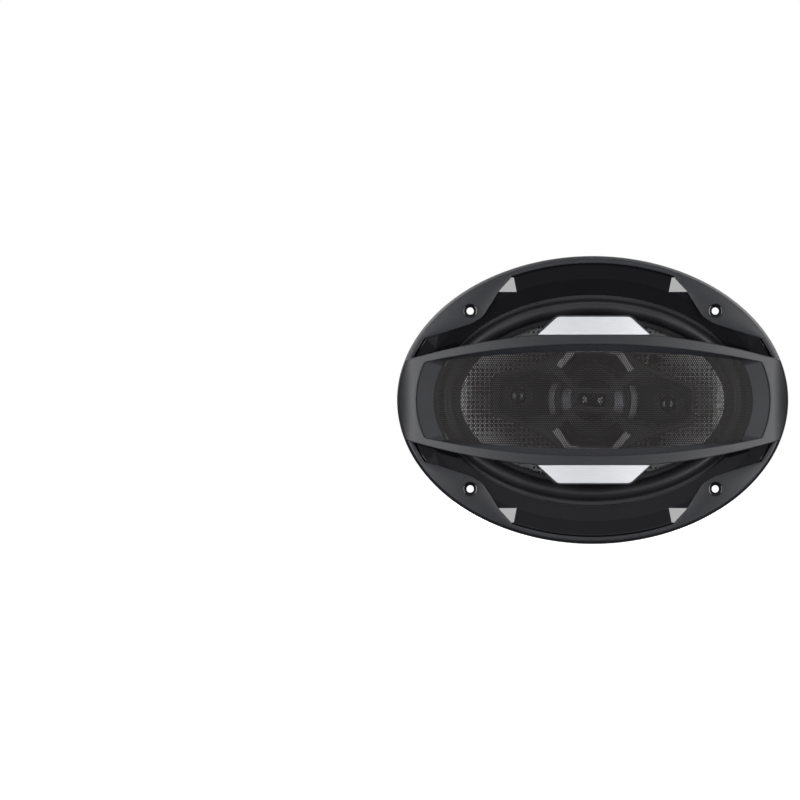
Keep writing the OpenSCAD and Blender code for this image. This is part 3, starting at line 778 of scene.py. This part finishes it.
def make_surround():
    a, b = GASKET_A, GASKET_B
    roll = arc(-10, STEEL + 0.7, 5.2, 5.4, 0, math.pi, 25)
    under = arc(-10, STEEL, 4.5, 4.7, math.pi, 0, 17)
    front = [(0, STEEL + 0.7), (-3.6, STEEL + 0.7), (-4.3, STEEL + 0.35)]
    lip = [(-15.7, 0.35), (-16.4, 0.8), (-17.4, 0.7), (-19.2, 0.45), (-19.4, 0.1)]
    lip = [(offset, STEEL + z) for offset, z in lip]
    back = [(-19.4, STEEL - 0.3), (-15.0, STEEL - 0.1)]
    profile = front + roll + lip + back + under + [(-5, STEEL), (0, STEEL)]
    bound = {"body": None, "replaces": ["surround"]}
    surround = oval_sweep("surround_roll", profile, a, b, "rubber", sides=360, **bound)

    def share(x, y):
        angle = np.arctan2(y, x)
        outer = oval_reach(a - 4, b - 4, angle)
        inner = oval_reach(a - 15.5, b - 15.5, angle)
        return (outer - np.hypot(x, y)) / (outer - inner)

    flex(surround, share)


def make_spider():
    inner, outer, rim = 16.15, 43.0, 48.8
    r = np.linspace(inner, outer, 150)
    wave = 0.7 * (1 - np.cos((r - inner) / (outer - inner) * FULL_TURN * 8))
    front = [(x, LEDGE_Z + 0.55 + z) for x, z in zip(r, wave)]
    back = [(x, z - 0.5) for x, z in reversed(front)]
    profile = front + [(rim, LEDGE_Z + 0.55), (rim, LEDGE_Z + 0.05)] + back
    spider = lathe("spider_disc", profile, "cloth", body=None, replaces=["spider"])
    flex(spider, lambda x, y: (outer - np.hypot(x, y)) / (outer - inner - 1))


def make_cone():
    """A curved shell from the coil to the oval edge, black behind its silver film."""
    angle = around(288)
    oval = polar(np.ones_like(angle), angle) * (CONE_A, CONE_B)
    neck = polar(np.full_like(angle, NECK_R), angle)
    front = []
    for t in np.linspace(0, 1, 28):
        flare = t - 0.055 * math.sin(math.pi * t)
        front.append(layer(neck + (oval - neck) * flare, NECK_Z + (CONE.front - 0.1 - NECK_Z) * t))
    sheets = [("film", 0, "cone", ["cone"]), ("backing", 0.3, "black_paint", [])]
    for name, depth, slot, replaced in sheets:
        top = [row - (0, 0, depth) for row in front]
        under = [row - (0, 0, 0.25 + depth * 1.5) for row in reversed(front)]
        ring(f"cone_{name}", top + under, slot, body="cone", replaces=replaced)


POD_LEAD = [
    (36.5, 22.5, -1.4), (38, 26.5, -2.8), (39.3, 33, -2), (43, 38.5, 0),
    (47.2, 37.5, 0), (49, 33.5, -3), (46.8, 30, -7.8),
]
TINSEL = [
    (59, 5, -36.5), (58.5, 5, -31.5), (53, 5, -27.5), (44, 5.5, -28), (35, 6, -29.5), (30, 6, -27.5),
]


def make_lead(kind, name, route, radius, side, look, share):
    """One of a pair of leads between the frame and the cone."""
    bound = {"body": None, "replaces": [f"{kind}s"]}
    flex(tube(f"{kind}_{name}", smooth_route(route, 8), radius, side, look, **bound), share)


def make_leads():
    for name, s in UPPER_LOWER:
        route = np.array(POD_LEAD) * (1, s, 1)
        make_lead("pod_lead", name, route, 0.55, (0.3, 0, 1), "lead", lambda x, y: (x - 40) / 7)
        route = np.array(TINSEL) * (1, s, 1)
        make_lead("tinsel_lead", name, route, 0.75, (0, 1, 0), "braid", lambda x, y: (55 - x) / 20)
        make_dab(name, s)


def make_dab(name, s):
    """A smear of glue where a lead goes through the cone."""
    turn = around(40)
    rows = []
    for k in np.linspace(0, 1, 10)[1:]:
        r = math.sin(k * math.pi / 2)
        lump = 1 + 0.16 * np.sin(3 * turn + 1 + s) + 0.08 * np.sin(5 * turn)
        x = 44 + 4.1 * r * lump * np.cos(turn) + 0.6 * np.sin(turn)
        y = s * 28.3 + 3.4 * r * lump * np.sin(turn)
        base = -10.7 + (x - 44) * 0.33 + (y * s - 28) * 0.5
        rows.append(np.column_stack([x, y, base + 1.5 * math.cos(k * math.pi / 2) ** 0.8]))
    top = rows[0].mean(0)
    rows.insert(0, np.repeat(top[None], len(turn), 0))
    rows.append(rows[-1] - (0, 0, 1.2))
    open_loops(f"lead_dab_{name}", rows, "glue", body="cone", replaces=["lead_dabs"])


# ---------------------------------------------------------------- pod

POD_QUARTER = [(70.5, 11), (67, 15), (42, 23), (29.5, 29), (19, 37.5), (15, 39.3)]
WINDOW_HALF = [(11.8, 8.3), (23, 20), (14.2, 31.5)]
SLIT_HALF = [(67.2, 9.5), (64.5, 12.2), (35, 21.6), (12.2, 4.3)]
TRIM_OUTER = [(27, 23), (16.3, 36.5), (8, 37.9)]
TRIM_INNER = [(23.4, 20.4), (14.4, 31.9), (8, 33.0)]
CORNER_FACET = [
    (35.2, 21.8, 20.0), (24.6, 14.3, 18.9), (22.6, 10.8, 13), (46.0, 14.2, 13), (42.5, 18.8, 18.9),
]
MID_R = 31.0
POD_FLOOR = 13.0


def mirrored(points):
    return [(-x, y) for x, y in reversed(points)]


def all_round(quarter):
    """Counter-clockwise outline from a quarter that runs from the right end to the top."""
    top = quarter + mirrored(quarter)
    return top + [(x, -y) for x, y in reversed(top)]


def pod_outline():
    return all_round(POD_QUARTER)


def hexagon():
    """The window above the bars, counter-clockwise from its lower right corner."""
    return WINDOW_HALF + mirrored(WINDOW_HALF)


def flat_plate(name, outlines, back, front, bevel, look, **more):
    """A plate with holes and bevelled edges. The first outline is the outside."""
    curve = bpy.data.curves.new(name, "CURVE")
    curve.dimensions = "2D"
    curve.fill_mode = "BOTH"
    curve.extrude = (front - back) / 2 - bevel
    curve.bevel_depth = bevel
    curve.bevel_resolution = 2
    curve.offset = -bevel
    for outline in outlines:
        spline = curve.splines.new("POLY")
        spline.points.add(len(outline) - 1)
        for point, (x, y) in zip(spline.points, outline):
            point.co = (x, y, 0, 1)
        spline.use_cyclic_u = True
    source = add_object(name, curve)
    bpy.context.view_layer.update()
    raw = bpy.data.meshes.new_from_object(source)
    bpy.data.objects.remove(source)
    points = np.array([v.co for v in raw.vertices], float) + (0, 0, (front + back) / 2)
    faces = [list(p.vertices) for p in raw.polygons]
    place = more.pop("place", lambda p: p)
    return piece(name, place(points), faces, look, **more)


def edge_of(outline, angle):
    """Distance from the middle to an outline, along each angle."""
    corners = [tuple(p) for p in outline]
    return reach(lambda x, y: in_polygon(corners, x, y), angle, 90)


def make_pod_shell():
    """The black body behind the pod's face, narrowing to the hub on the post."""
    angle = around(720)
    outline = filleted(pod_outline(), 2.5, 5)
    edge = edge_of(outline, angle)
    rows = []
    sides = [
        (0, 20.2), (0, 17), (0, 9), (0.02, 5), (0.12, 2.5), (0.55, -7), (0.9, -13), (0.98, -13.5),
        (1, -14),
    ]
    for k, z in sides:
        rows.append(layer(polar(edge + (13 - edge) * k, angle), z))
    hub = [(12, -14.1), (12, -19.5), (11.5, -20), (3, -20), (3, -12)]
    rows += [layer(polar(np.full_like(angle, r), angle), z) for r, z in hub]
    rows.append(layer(polar(edge - 1.6, angle), 3))
    rows.append(layer(polar(edge - 1.6, angle), 20.2))
    ring("pod_shell", rows, "pod_black", turn=True, replaces=["pod_housing"], sharp=28)


def make_pod_face():
    """The grey face: a rim and two crossing bars around the windows."""
    outline = filleted(pod_outline(), 2.2, 5)
    outline = inset(np.array(outline), 0.9)
    window = filleted(hexagon(), 1.0, 3)
    slit = filleted(all_round(SLIT_HALF), 1.0, 3)
    holes = [window, window * (1, -1), slit]
    flat_plate(
        "pod_face", [outline, *holes], 18.2, POD.front, 0.55, "pod_grey",
        replaces=["pod_frame"], place=turned,
    )
    angle = around(720)
    edge = edge_of(outline, angle)
    profile = [(0.2, 19.9), (1.1, 19.4), (1.5, 18.6), (1.5, 17), (-0.5, 17), (-0.5, 19.6)]
    rows = [layer(polar(edge + d, angle), z) for d, z in profile]
    ring("pod_edge", rows, "pod_black", turn=True)


def depth_in(points, x, y):
    """Distance inwards from a chain of straight edges that the shape lies to the left of."""
    depth = np.inf
    for (x1, y1), (x2, y2) in zip(points, points[1:]):
        across = (x2 - x1) * (y - y1) - (y2 - y1) * (x - x1)
        depth = np.minimum(depth, across / math.hypot(x2 - x1, y2 - y1))
    return depth


def standing(top, floor):
    """The corners of a small solid: those of its top, and the same ones down on its floor."""
    top = np.array(top)
    return np.concatenate([top, top * (1, 1, 0) + (0, 0, floor)])


def make_pod_floor(side):
    """The ribbed floor beside the middle driver, with walls that slope up to the face."""
    end, shoulder, corner, waist = SLIT_HALF
    rib, steps = 1.15, 4
    y = np.arange(-74, 75)[:, None] * rib / steps
    ay = np.abs(y)
    from_bar = waist[0] + (ay - waist[1]) * (corner[0] - waist[0]) / (corner[1] - waist[1])
    low = np.maximum(np.sqrt(MID_R**2 - y**2) + 0.1, from_bar)
    heights = [-1, end[1], shoulder[1], corner[1]]
    high = np.interp(ay, heights, [end[0], end[0], shoulder[0], corner[0]]) + 0.3
    x = low + (high - low) * np.linspace(0, 1, 110)[None, :]
    y, ay = y + 0 * x, ay + 0 * x
    to_wall = depth_in([(end[0], -1), end, shoulder, corner], x, ay)
    to_bar = depth_in([corner, waist], x, ay)
    groove = 0.24 * np.array([0, 0.55, 1, 0.55])[np.arange(len(y)) % steps][:, None]
    floor = POD_FLOOR - groove * (np.minimum(to_wall, to_bar) > 1.6)
    walls = np.maximum(20.4 - 3.0 * to_wall, 20.2 - 2.6 * to_bar)
    z = np.maximum(floor, walls)
    z = np.where(np.hypot(x - TWEETER_X, y) < 8.8, 10.5, z)
    front = np.stack([side * x, y, z], -1)
    back = front[:, ::-1].copy()
    back[..., 2] = 6.5
    loops = np.concatenate([front, back], 1)
    name = "left" if side < 0 else "right"
    open_loops(f"pod_floor_{name}", loops, "pod_black", turn=True, sharp=20)
    for word, up in UPPER_LOWER:
        points = standing(CORNER_FACET, 12) * (side, up, 1)
        faces = grid_faces(2, 5, False, True) + [[0, 1, 4], [1, 2, 3, 4], [9, 8, 7, 6, 5]]
        piece(f"corner_facet_{word}_{name}", turned(points), faces, "pod_grey", sharp=10)


def make_window_walls():
    """Gloss walls that slope from each window's edge down to the middle driver."""
    corners = [tuple(p) for p in hexagon()]
    angle = np.radians(np.linspace(40, 140, 161))
    centre_hit = reach(lambda x, y: in_polygon(corners, x, y) | (y < 12), angle, 60)
    outer = polar(centre_hit - 0.1, angle)
    inner = polar(np.full_like(angle, 26.6), angle)
    for name, s in UPPER_LOWER:
        rows = []
        for k in np.linspace(0, 1, 7):
            z = 20.3 - 8.6 * k + 1.6 * math.sin(math.pi * k)
            rows.append(layer((outer + (inner - outer) * k) * (1, s), z))
        back = [row - (0, 0, 1.0) for row in reversed(rows)]
        loops = np.stack(rows + back, 1)
        open_loops(f"mid_well_{name}", loops, "pod_black", turn=True, sharp=20)


def make_trims():
    outer = TRIM_OUTER + mirrored(TRIM_OUTER)
    inner = TRIM_INNER + mirrored(TRIM_INNER)
    band = np.array(outer + list(reversed(inner)), float)
    for name, s in UPPER_LOWER:
        outline = band * (1, s)
        flat_plate(
            f"trim_band_{name}", [outline[::s]], POD.front - 0.4, POD.front + 1.0, 0.3, "trim",
            replaces=[f"trim_{name}"], place=turned,
        )


# ---------------------------------------------------------------- midrange and tweeters


def make_mid_ring():
    """Silver ring with a knurled outer edge, in front of its own basket."""
    teeth = 144
    angle = around(teeth * 4)
    tooth = np.array([0, 0, -0.6, -0.6])[np.arange(teeth * 4) % 4]
    profile = [
        (26.6, 10.4), (26.8, 10.9), (29.9, 12.2), (30.8, 12.5), (31, 12.2), (31, 10.2), (26.6, 9.6),
    ]
    rows = []
    for i, (r, z) in enumerate(profile):
        radius = r + (tooth if i in (3, 4, 5) else 0 * tooth)
        rows.append(layer(polar(radius, angle), z))
    ring("mid_knurled_ring", rows, "silver_plastic", turn=True, replaces=["mid_ring"])
    basket = [(11, 1), (14.5, 1), (26, 7.4), (30.9, 8), (30.9, 10), (26, 9.4), (14.5, 3), (11, 3)]
    lathe("mid_basket", filleted(basket, 0.4), "pod_black", turn=True)


def make_mid_driver():
    roll = arc(24.3, 10.5, 1.9, 1.5, 0, math.pi, 13)
    profile = [(26.5, 10.3)] + roll + [(22.2, 10.3), (22.2, 9.9), (26.5, 9.9)]
    lathe("mid_surround_roll", profile, "rubber", turn=True, replaces=["mid_surround"])
    cone = [(22.3, 11.0), (21.7, 11.0), (21.2, 10.4), (15.2, 8.1), (15.0, 7.2)]
    back = [(15.2, 6.8), (21.4, 9.7), (22.3, 10.3)]
    lathe(
        "mid_cone_shell", filleted(cone + back, 0.25), "silver_plastic",
        turn=True, body="mid_cone", replaces=["mid_cone"],
    )
    throat = [
        (15.1, 7.3), (13.6, 7.0), (13.0, 5.6), (11.2, 5.2), (10.6, 5.7), (10.0, 5.2),
        (9.3, 5.0), (9.3, 4.2), (15.1, 6.6),
    ]
    lathe("mid_cone_throat", filleted(throat, 0.25), "rubber", turn=True, body="mid_cone")
    make_dome("mid_dome_cap", "mid_dome", 9.3, 4.8, 4.2, (0, 0), "mid_cone")


def make_dome(name, node, radius, base, rise, centre, body):
    """A thin polished dome."""
    quarter = np.linspace(0.004, math.pi / 2, 22)
    front = [(radius * math.sin(t), base + rise * math.cos(t)) for t in quarter]
    back = [(max(r - 0.35, 0.02), z - 0.35) for r, z in reversed(front)]
    lathe(name, front + back, "dome", centre, 96, turn=True, body=body, replaces=[node], sharp=60)


def make_tweeters():
    for name, s in LEFT_RIGHT:
        centre = (s * TWEETER_X, 0)
        flange = [
            (5.9, 11.4), (6.3, 12.2), (6.9, 12.5), (7.5, 12.3), (8.1, 13.6), (8.7, 14.3), (9.5, 14.5),
            (9.9, 14.0), (9.9, 12.6), (9.0, 12.2), (9.0, 10.2), (5.9, 10.2),
        ]
        lathe(
            f"tweeter_flange_{name}", filleted(flange, 0.3), "pod_black", centre, 128, turn=True,
            replaces=[f"tweeter_ring_{name}"],
        )
        dome = f"tweeter_dome_{name}"
        make_dome(f"tweeter_cap_{name}", dome, 5.7, 11.9, 3.5, centre, f"tweeter_{name}")


# ---------------------------------------------------------------- grille

EAR_LINE = [
    (50, 103), (55.8, 85.6), (65.5, 75.1), (70, 67.5), (76.5, 57.5), (83.9, 52.9), (107, 45.5),
    (121, 41.5), (150, 41),
]


def ear_edge(x):
    """Height above the middle line where an ear begins, with its corners eased."""
    xs, ys = zip(*EAR_LINE)
    ax = np.abs(x)
    eased = sum(np.interp(ax + d, xs, ys) for d in (-1.6, -0.8, 0, 0.8, 1.6)) / 5
    return np.where(ax < 52, 200.0, eased)


def in_opening(x, y):
    """The part of the grille inside its rim that is neither an ear nor under the bridge's ends."""
    inside = (x / (RING.a - RIM_W)) ** 2 + (y / (RING.b - RIM_W)) ** 2 < 1
    landing = (np.abs(x) > LANDING_X) & (np.abs(y) < LANDING_Y)
    return inside & (np.abs(y) < ear_edge(x)) & ~landing


def make_ring():
    """The satin ring with its four ears and the skirt behind it."""
    angle = around(1800)
    inner = polar(reach(in_opening, angle), angle)
    oval = polar(oval_reach(RING.a, RING.b, angle), angle)
    rows = [
        (inner, 0, EAR_FRONT - 2.4), (inner, 0, EAR_FRONT - 0.5), (inner, -0.15, EAR_FRONT - 0.15),
        (inner, -0.5, EAR_FRONT), (oval, 2.6, EAR_FRONT), (oval, 1.9, EAR_FRONT - 0.3),
        (oval, 0.5, EAR_FRONT - 3.0), (oval, 0.1, EAR_FRONT - 4.0), (oval, 0, EAR_FRONT - 5.0),
        (oval, 0, RING.back + 0.3), (oval, 0.3, RING.back), (oval, 2.2, RING.back),
        (oval, 2.5, RING.back + 0.3), (oval, 2.5, EAR_FRONT - 3.4), (oval, 4.5, EAR_FRONT - 2.5),
    ]
    shell = ring("grille_shell", stepped(rows), "charcoal", body="grille", replaces=["grille_ring"])
    profile = [(5.1, EAR_FRONT + 1), (5.1, EAR_FRONT), (4.6, EAR_FRONT - 0.5), (4.6, EAR_FRONT - 3)]
    cutters = []
    for sx, sy in CORNERS:
        cutters.append(cutter([layer(circle(r, sx * HOLE_X, sy * HOLE_Y), z) for r, z in profile]))
    carve(shell, cutters)
    for i, (sx, sy) in enumerate(CORNERS):
        boss = [
            (4.55, EAR_FRONT - 0.5), (4.5, EAR_FRONT - 2.9), (4.2, EAR_FRONT - 3), (2.8, EAR_FRONT - 3),
            (2.5, EAR_FRONT - 3.3), (2.5, GASKET.front), (6.5, GASKET.front), (6.5, EAR_FRONT - 2.4),
            (4.7, EAR_FRONT - 2.4), (4.7, EAR_FRONT - 0.5),
        ]
        centre = (sx * HOLE_X, sy * HOLE_Y)
        lathe(f"screw_boss_{i + 1}", boss, "gloss_black", centre, 64, body="grille")


def make_scallop(name, s):
    """The gloss wall between the rim and the opening, with its light facets beside the ears."""
    angle = np.radians(np.linspace(12.8, 167.2, 900))[:, None]
    low = oval_reach(OPENING_A, OPENING_B, angle)
    high = oval_reach(RING.a - RIM_W + 0.4, RING.b - RIM_W + 0.4, angle)
    q = np.concatenate([np.linspace(0, 0.06, 5), np.linspace(0.08, 1, 56)])[None, :]
    knots = [0, 0.02, 0.05, 0.08, 0.50, 0.53, 0.93, 0.97, 1.0]
    heights = [5.6, 5.75, 5.85, 5.9, 7.1, 7.12, 7.6, 8.4, 10.6]
    z = np.interp(q, knots, heights) + 0 * angle
    r = low + (high - low) * q
    x, y = r * np.cos(angle), r * np.sin(angle)
    under = (y > ear_edge(x) + 0.3) | ((np.abs(x) > LANDING_X + 0.3) & (y < LANDING_Y - 0.3))
    z = np.where(under, np.minimum(z, EAR_FRONT - 2.6), z)
    front = np.stack([x, s * y, z], -1)
    back = front[:, ::-1].copy()
    back[..., 2] = GASKET.front + 0.05
    loops = np.concatenate([front, back[:, :1], back[:, -1:]], 1)
    wall = open_loops(
        f"scallop_wall_{name}", loops, "gloss_black",
        body="grille", replaces=[f"scallop_{name}"], sharp=24,
    )
    bosses = [circle(BOSS_R, sx * HOLE_X, s * HOLE_Y) for sx in (-1, 1)]
    carve(wall, [cutter([layer(outline, 0), layer(outline, 12)]) for outline in bosses])
    for word, side in LEFT_RIGHT:
        top = [(52.6, 75.0, 7.0), (66.6, 75.0, 10.8), (56.2, 86.6, 8.0), (53.3, 86.4, 7.2)]
        wedge(f"trough_end_{name}_{word}", top, side, s)
        end = [(106.5, 45.9, 7.4), (108.8, 36.4, 7.9), (116.4, 43.0, 9.6), (116.0, 44.2, 9.5)]
        wedge(f"corner_end_{name}_{word}", end, side, s)


def wedge(name, top, side, up):
    """A small solid face that slopes up to an ear."""
    points = standing(top, GASKET.front + 0.1) * (side, up, 1)
    piece(name, points, capped_faces(2, len(top)), "gloss_black", body="grille", sharp=10)


def bow(x):
    """Front of the bridge at a place along its width."""
    return BRIDGE.front - BOW_R + np.sqrt(BOW_R**2 - x**2)


def in_lens(x, y, radius, half):
    return x**2 + (np.abs(y) + radius - half) ** 2 < radius**2


def in_bridge(x, y):
    oval = (x / (RING.a - 0.6)) ** 2 + (y / (RING.b - 0.6)) ** 2 < 1
    return oval & in_lens(x, y, BRIDGE_ARC_R, BRIDGE_HALF)


def in_window(x, y, half_w, half_h, end_r, arc_r):
    ax = np.abs(x)
    ends = (ax - half_w + end_r) ** 2 + y**2 < end_r**2
    return (ends | (ax < half_w - end_r)) & in_lens(x, y, arc_r, half_h)


def make_bridge():
    """The bowed bar across the grille: rounded ends, a window and a sloping panel at each end."""
    angle = around(1440)
    outer = polar(reach(in_bridge, angle), angle)
    window = polar(reach(lambda x, y: in_window(x, y, *WINDOW_SHAPE), angle), angle)
    sheet = polar(reach(lambda x, y: in_window(x, y, *MESH_SHAPE), angle), angle)

    def face(outline, drop=0.0):
        x = outline[:, 0]
        past = np.clip(np.abs(x) - WINDOW_X, 0, None)
        return bow(x) - (BRIDGE_END_R - np.sqrt(BRIDGE_END_R**2 - past**2)) - drop

    leg = np.clip((np.abs(outer[:, 0]) - LANDING_X) / 3, 0, 1)
    foot = (bow(outer[:, 0]) - 2.5) * (1 - leg) + EAR_FRONT * leg
    rows = [layer(outer, np.minimum(foot, face(outer) - 1.0))]
    for distance, drop in ((0, 0.7), (0.2, 0.2), (0.7, 0)):
        step = inset(outer, distance)
        rows.append(layer(step, face(step, drop)))
    between = inset(outer, 0.7)
    rim = inset(window, -0.5)
    for k in np.linspace(0.1, 1, 10):
        step = between + (rim - between) * k
        rows.append(layer(step, face(step)))
    rows += [layer(inset(window, -0.15), face(window, 0.1)), layer(window, face(window, 0.35))]
    rows.append(layer(window + (sheet - window) * 0.02, bow(window[:, 0]) - 1.4))
    rows.append(layer(sheet, bow(sheet[:, 0]) - SHEET_DEPTH + 0.25))
    rows.append(layer(inset(sheet, 0.2), bow(sheet[:, 0]) - SHEET_DEPTH))
    rows.append(layer(inset(sheet, -0.8), bow(sheet[:, 0]) - SHEET_DEPTH - 0.9))
    rows.append(layer(inset(outer, 2.0), np.minimum(foot, bow(outer[:, 0]) - 2.9)))
    ring("bridge_bar", rows, "charcoal", body="grille", replaces=["grille_bridge"], sharp=22)


def bowed_panel(name, outline, s, back, front, bevel, look, **more):
    """A plate bent to follow the bridge. outline gives its upper edge as (x, y) over its lower edge."""
    (_, low_y), *upper = outline
    xs, ys = zip(*sorted(map(tuple, upper)))
    x = np.unique(np.concatenate([np.linspace(xs[0], xs[-1], 121), xs]))
    high = np.interp(x, xs, ys)
    tuck = np.minimum(bevel, (high - low_y) * 0.4)
    z = bow(x)
    section = [
        (low_y + 0 * x, z - front - bevel), (low_y + tuck, z - front), (high - tuck, z - front),
        (high, z - front - bevel), (high, z - back), (low_y + 0 * x, z - back),
    ]
    loops = np.stack([np.column_stack([x, s * y, depth]) for y, depth in section], 1)
    return open_loops(name, loops, look, body="grille", **more)


def make_badges():
    """Two silver plates, each in the front of a dark tongue that stands out from the bridge."""
    base, top, low, high = 38.5, 25.0, 45.0, 57.4
    plate = filleted([(base, low + 0.2), (top, high), (-top, high), (-base, low + 0.2)], [0, 2, 2, 0])
    tongue = filleted(
        [
            (base + 2.2, low - 0.5), (top + 1.0, high + 1.1),
            (-top - 1.0, high + 1.1), (-base - 2.2, low - 0.5),
        ],
        [0, 3, 3, 0],
    )
    for name, s in UPPER_LOWER:
        outline = [(0, low - 1.5), *tongue]
        bowed_panel(f"badge_tongue_{name}", outline, s, 2.7, 0.4, 0.4, "charcoal")
        outline = [(0, low), *plate]
        bowed_panel(
            f"badge_plate_{name}", outline, s, 0.7, -0.3, 0.25, "badge", replaces=[f"badge_{name}"]
        )


def make_mesh(name, s):
    """One half of the perforated sheet: a ring of faces around each hole, in staggered rows."""
    pitch, hole, thickness = MESH_PITCH, MESH_HOLE_R, MESH_THICK
    lap_x, lap_y = MESH_X + 2.2, MESH_Y + 1.6
    count = int(lap_x / pitch) + 1
    i, j = np.meshgrid(np.arange(-count, count + 1), np.arange(-count, count + 1), indexing="ij")
    cx, cy = ((i + 0.5 * (j % 2)) * pitch).ravel(), (j * pitch * math.sqrt(0.75)).ravel()

    def in_half(x, y):
        half = x > -0.01 if s > 0 else x < -0.01
        return half & in_window(x, y, lap_x, lap_y, MESH_END_R, MESH_ARC_R)

    keep = in_half(cx, cy)
    cx, cy = cx[keep], cy[keep]
    turn = np.radians(30 + 60 * np.arange(6))
    cell = pitch / math.sqrt(3)
    rings = []
    for radius, depth in ((cell, 0), (hole, 0), (hole, thickness), (cell, thickness)):
        x, y = cx[:, None] + radius * np.cos(turn), cy[:, None] + radius * np.sin(turn)
        rings.append(np.stack([x, y, bow(x) - SHEET_DEPTH - depth], -1))
    points = np.stack(rings, 1).reshape(-1, 3)
    first = 24 * np.arange(len(cx))[:, None]
    faces = []
    for k in range(6):
        on = (k + 1) % 6
        for a, b in ((0, 6), (6, 12), (12, 18)):
            faces.append(first + [a + k, a + on, b + on, b + k])
        way = math.radians(60 + 60 * k)
        edge = ~in_half(cx + pitch * math.cos(way), cy + pitch * math.sin(way))
        faces.append(first[edge] + [18 + k, 18 + on, on, k])
    faces = np.concatenate(faces).tolist()
    piece(f"mesh_{name}", points, faces, "mesh", body="grille", replaces=["grille_mesh"])


# ---------------------------------------------------------------- camera, light and floor

VIEW_WIDTH = 0.556
VIEW_DISTANCE = 4.0
VIEW_LEFT = 0.1337


def make_camera():
    """Looks straight at the face from far away, with room at the left for the grille taken off."""
    camera = bpy.data.cameras.new("camera")
    camera.sensor_width = 36
    camera.lens = camera.sensor_width * VIEW_DISTANCE / VIEW_WIDTH
    camera.clip_end = 50
    obj = add_object("camera", camera)
    obj.location = (-VIEW_LEFT, -VIEW_DISTANCE, 0)
    obj.rotation_euler = (math.pi / 2, 0, 0)
    bpy.context.scene.camera = obj


def soft_box(name, azimuth, elevation, distance, width, height, radiance):
    """A large even light that faces the object. Azimuth 0 is in front of it."""
    light = bpy.data.lights.new(name, "AREA")
    light.shape = "RECTANGLE"
    light.size, light.size_y = width, height
    light.energy = radiance * math.pi * width * height
    obj = add_object(name, light)
    a, e = math.radians(azimuth), math.radians(elevation)
    away = (math.sin(a) * math.cos(e), -math.cos(a) * math.cos(e), math.sin(e))
    obj.location = distance * Vector(away)
    obj.rotation_euler = (-obj.location).to_track_quat("-Z", "Y").to_euler()
    obj.visible_camera = False


def make_studio():
    """Two soft boxes at the sides, weak fills above and behind, and a white surrounding."""
    soft_box("box_left", -38, 0, 1.3, 0.70, 0.95, 8.0)
    soft_box("box_right", 38, 0, 1.3, 0.70, 0.95, 8.0)
    soft_box("top_fill", 0, 80, 1.5, 1.2, 0.8, 0.8)
    soft_box("back_fill_left", -150, 25, 1.5, 1.0, 0.9, 3.0)
    soft_box("back_fill_right", 150, 25, 1.5, 1.0, 0.9, 3.0)
    world = bpy.data.worlds.new("studio")
    bpy.context.scene.world = world
    world.use_nodes = True
    world.node_tree.nodes.clear()
    output = add(world, "ShaderNodeOutputWorld")
    seen = add(world, "ShaderNodeBackground", Color=(1, 1, 1, 1))
    lit = add(world, "ShaderNodeBackground")
    direction = add(world, "ShaderNodeTexCoord")
    ramp = add(world, "ShaderNodeValToRGB")
    height = x_and_z(world, direction.outputs["Generated"])[1]
    link(world, spread(world, height, 0, 1, -1, 1), ramp.inputs["Fac"])
    for element, place, level in zip(ramp.color_ramp.elements, (0.42, 0.72), (0.05, 0.42)):
        element.position = place
        element.color = (level, level, level * 1.04, 1)
    link(world, ramp.outputs["Color"], lit.inputs["Color"])
    path = add(world, "ShaderNodeLightPath")
    mix = add(world, "ShaderNodeMixShader")
    link(world, path.outputs["Is Camera Ray"], mix.inputs[0])
    link(world, lit.outputs[0], mix.inputs[1])
    link(world, seen.outputs[0], mix.inputs[2])
    link(world, mix.outputs[0], output.inputs["Surface"])
    bpy.context.scene.view_settings.view_transform = "Standard"


def make_floor():
    """A pale floor under the grille's lower edge, which throws no light of its own on the object."""
    low = cad_bounds[0].z
    half, back, front = 3.0, 5.0, -3.0
    mesh = bpy.data.meshes.new("floor")
    corners = [(-half, front, low), (half, front, low), (half, back, low), (-half, back, low)]
    mesh.from_pydata(corners, [], [(0, 1, 2, 3)])
    floor = add_object("floor", mesh)
    material = shader("floor_paint", (0.80, 0.80, 0.80), 0.9)
    surface_of(material).inputs["Emission Color"].default_value = (1, 1, 1, 1)
    surface_of(material).inputs["Emission Strength"].default_value = 0.80
    mesh.materials.append(material)
    floor.visible_glossy = False
    floor.visible_diffuse = False
    floor.visible_shadow = False


# ---------------------------------------------------------------- the whole

make_camera()
make_studio()
make_floor()
keep_cad_nodes()
make_gasket()
make_flange()
make_bowl()
make_well()
make_boot()
make_surround()
make_spider()
make_cone()
make_leads()
make_pod_shell()
make_pod_face()
make_pod_floor(-1)
make_pod_floor(1)
make_window_walls()
make_trims()
make_mid_ring()
make_mid_driver()
make_tweeters()
make_ring()
make_scallop("upper", 1)
make_scallop("lower", -1)
make_bridge()
make_badges()
make_mesh("left", -1)
make_mesh("right", 1)
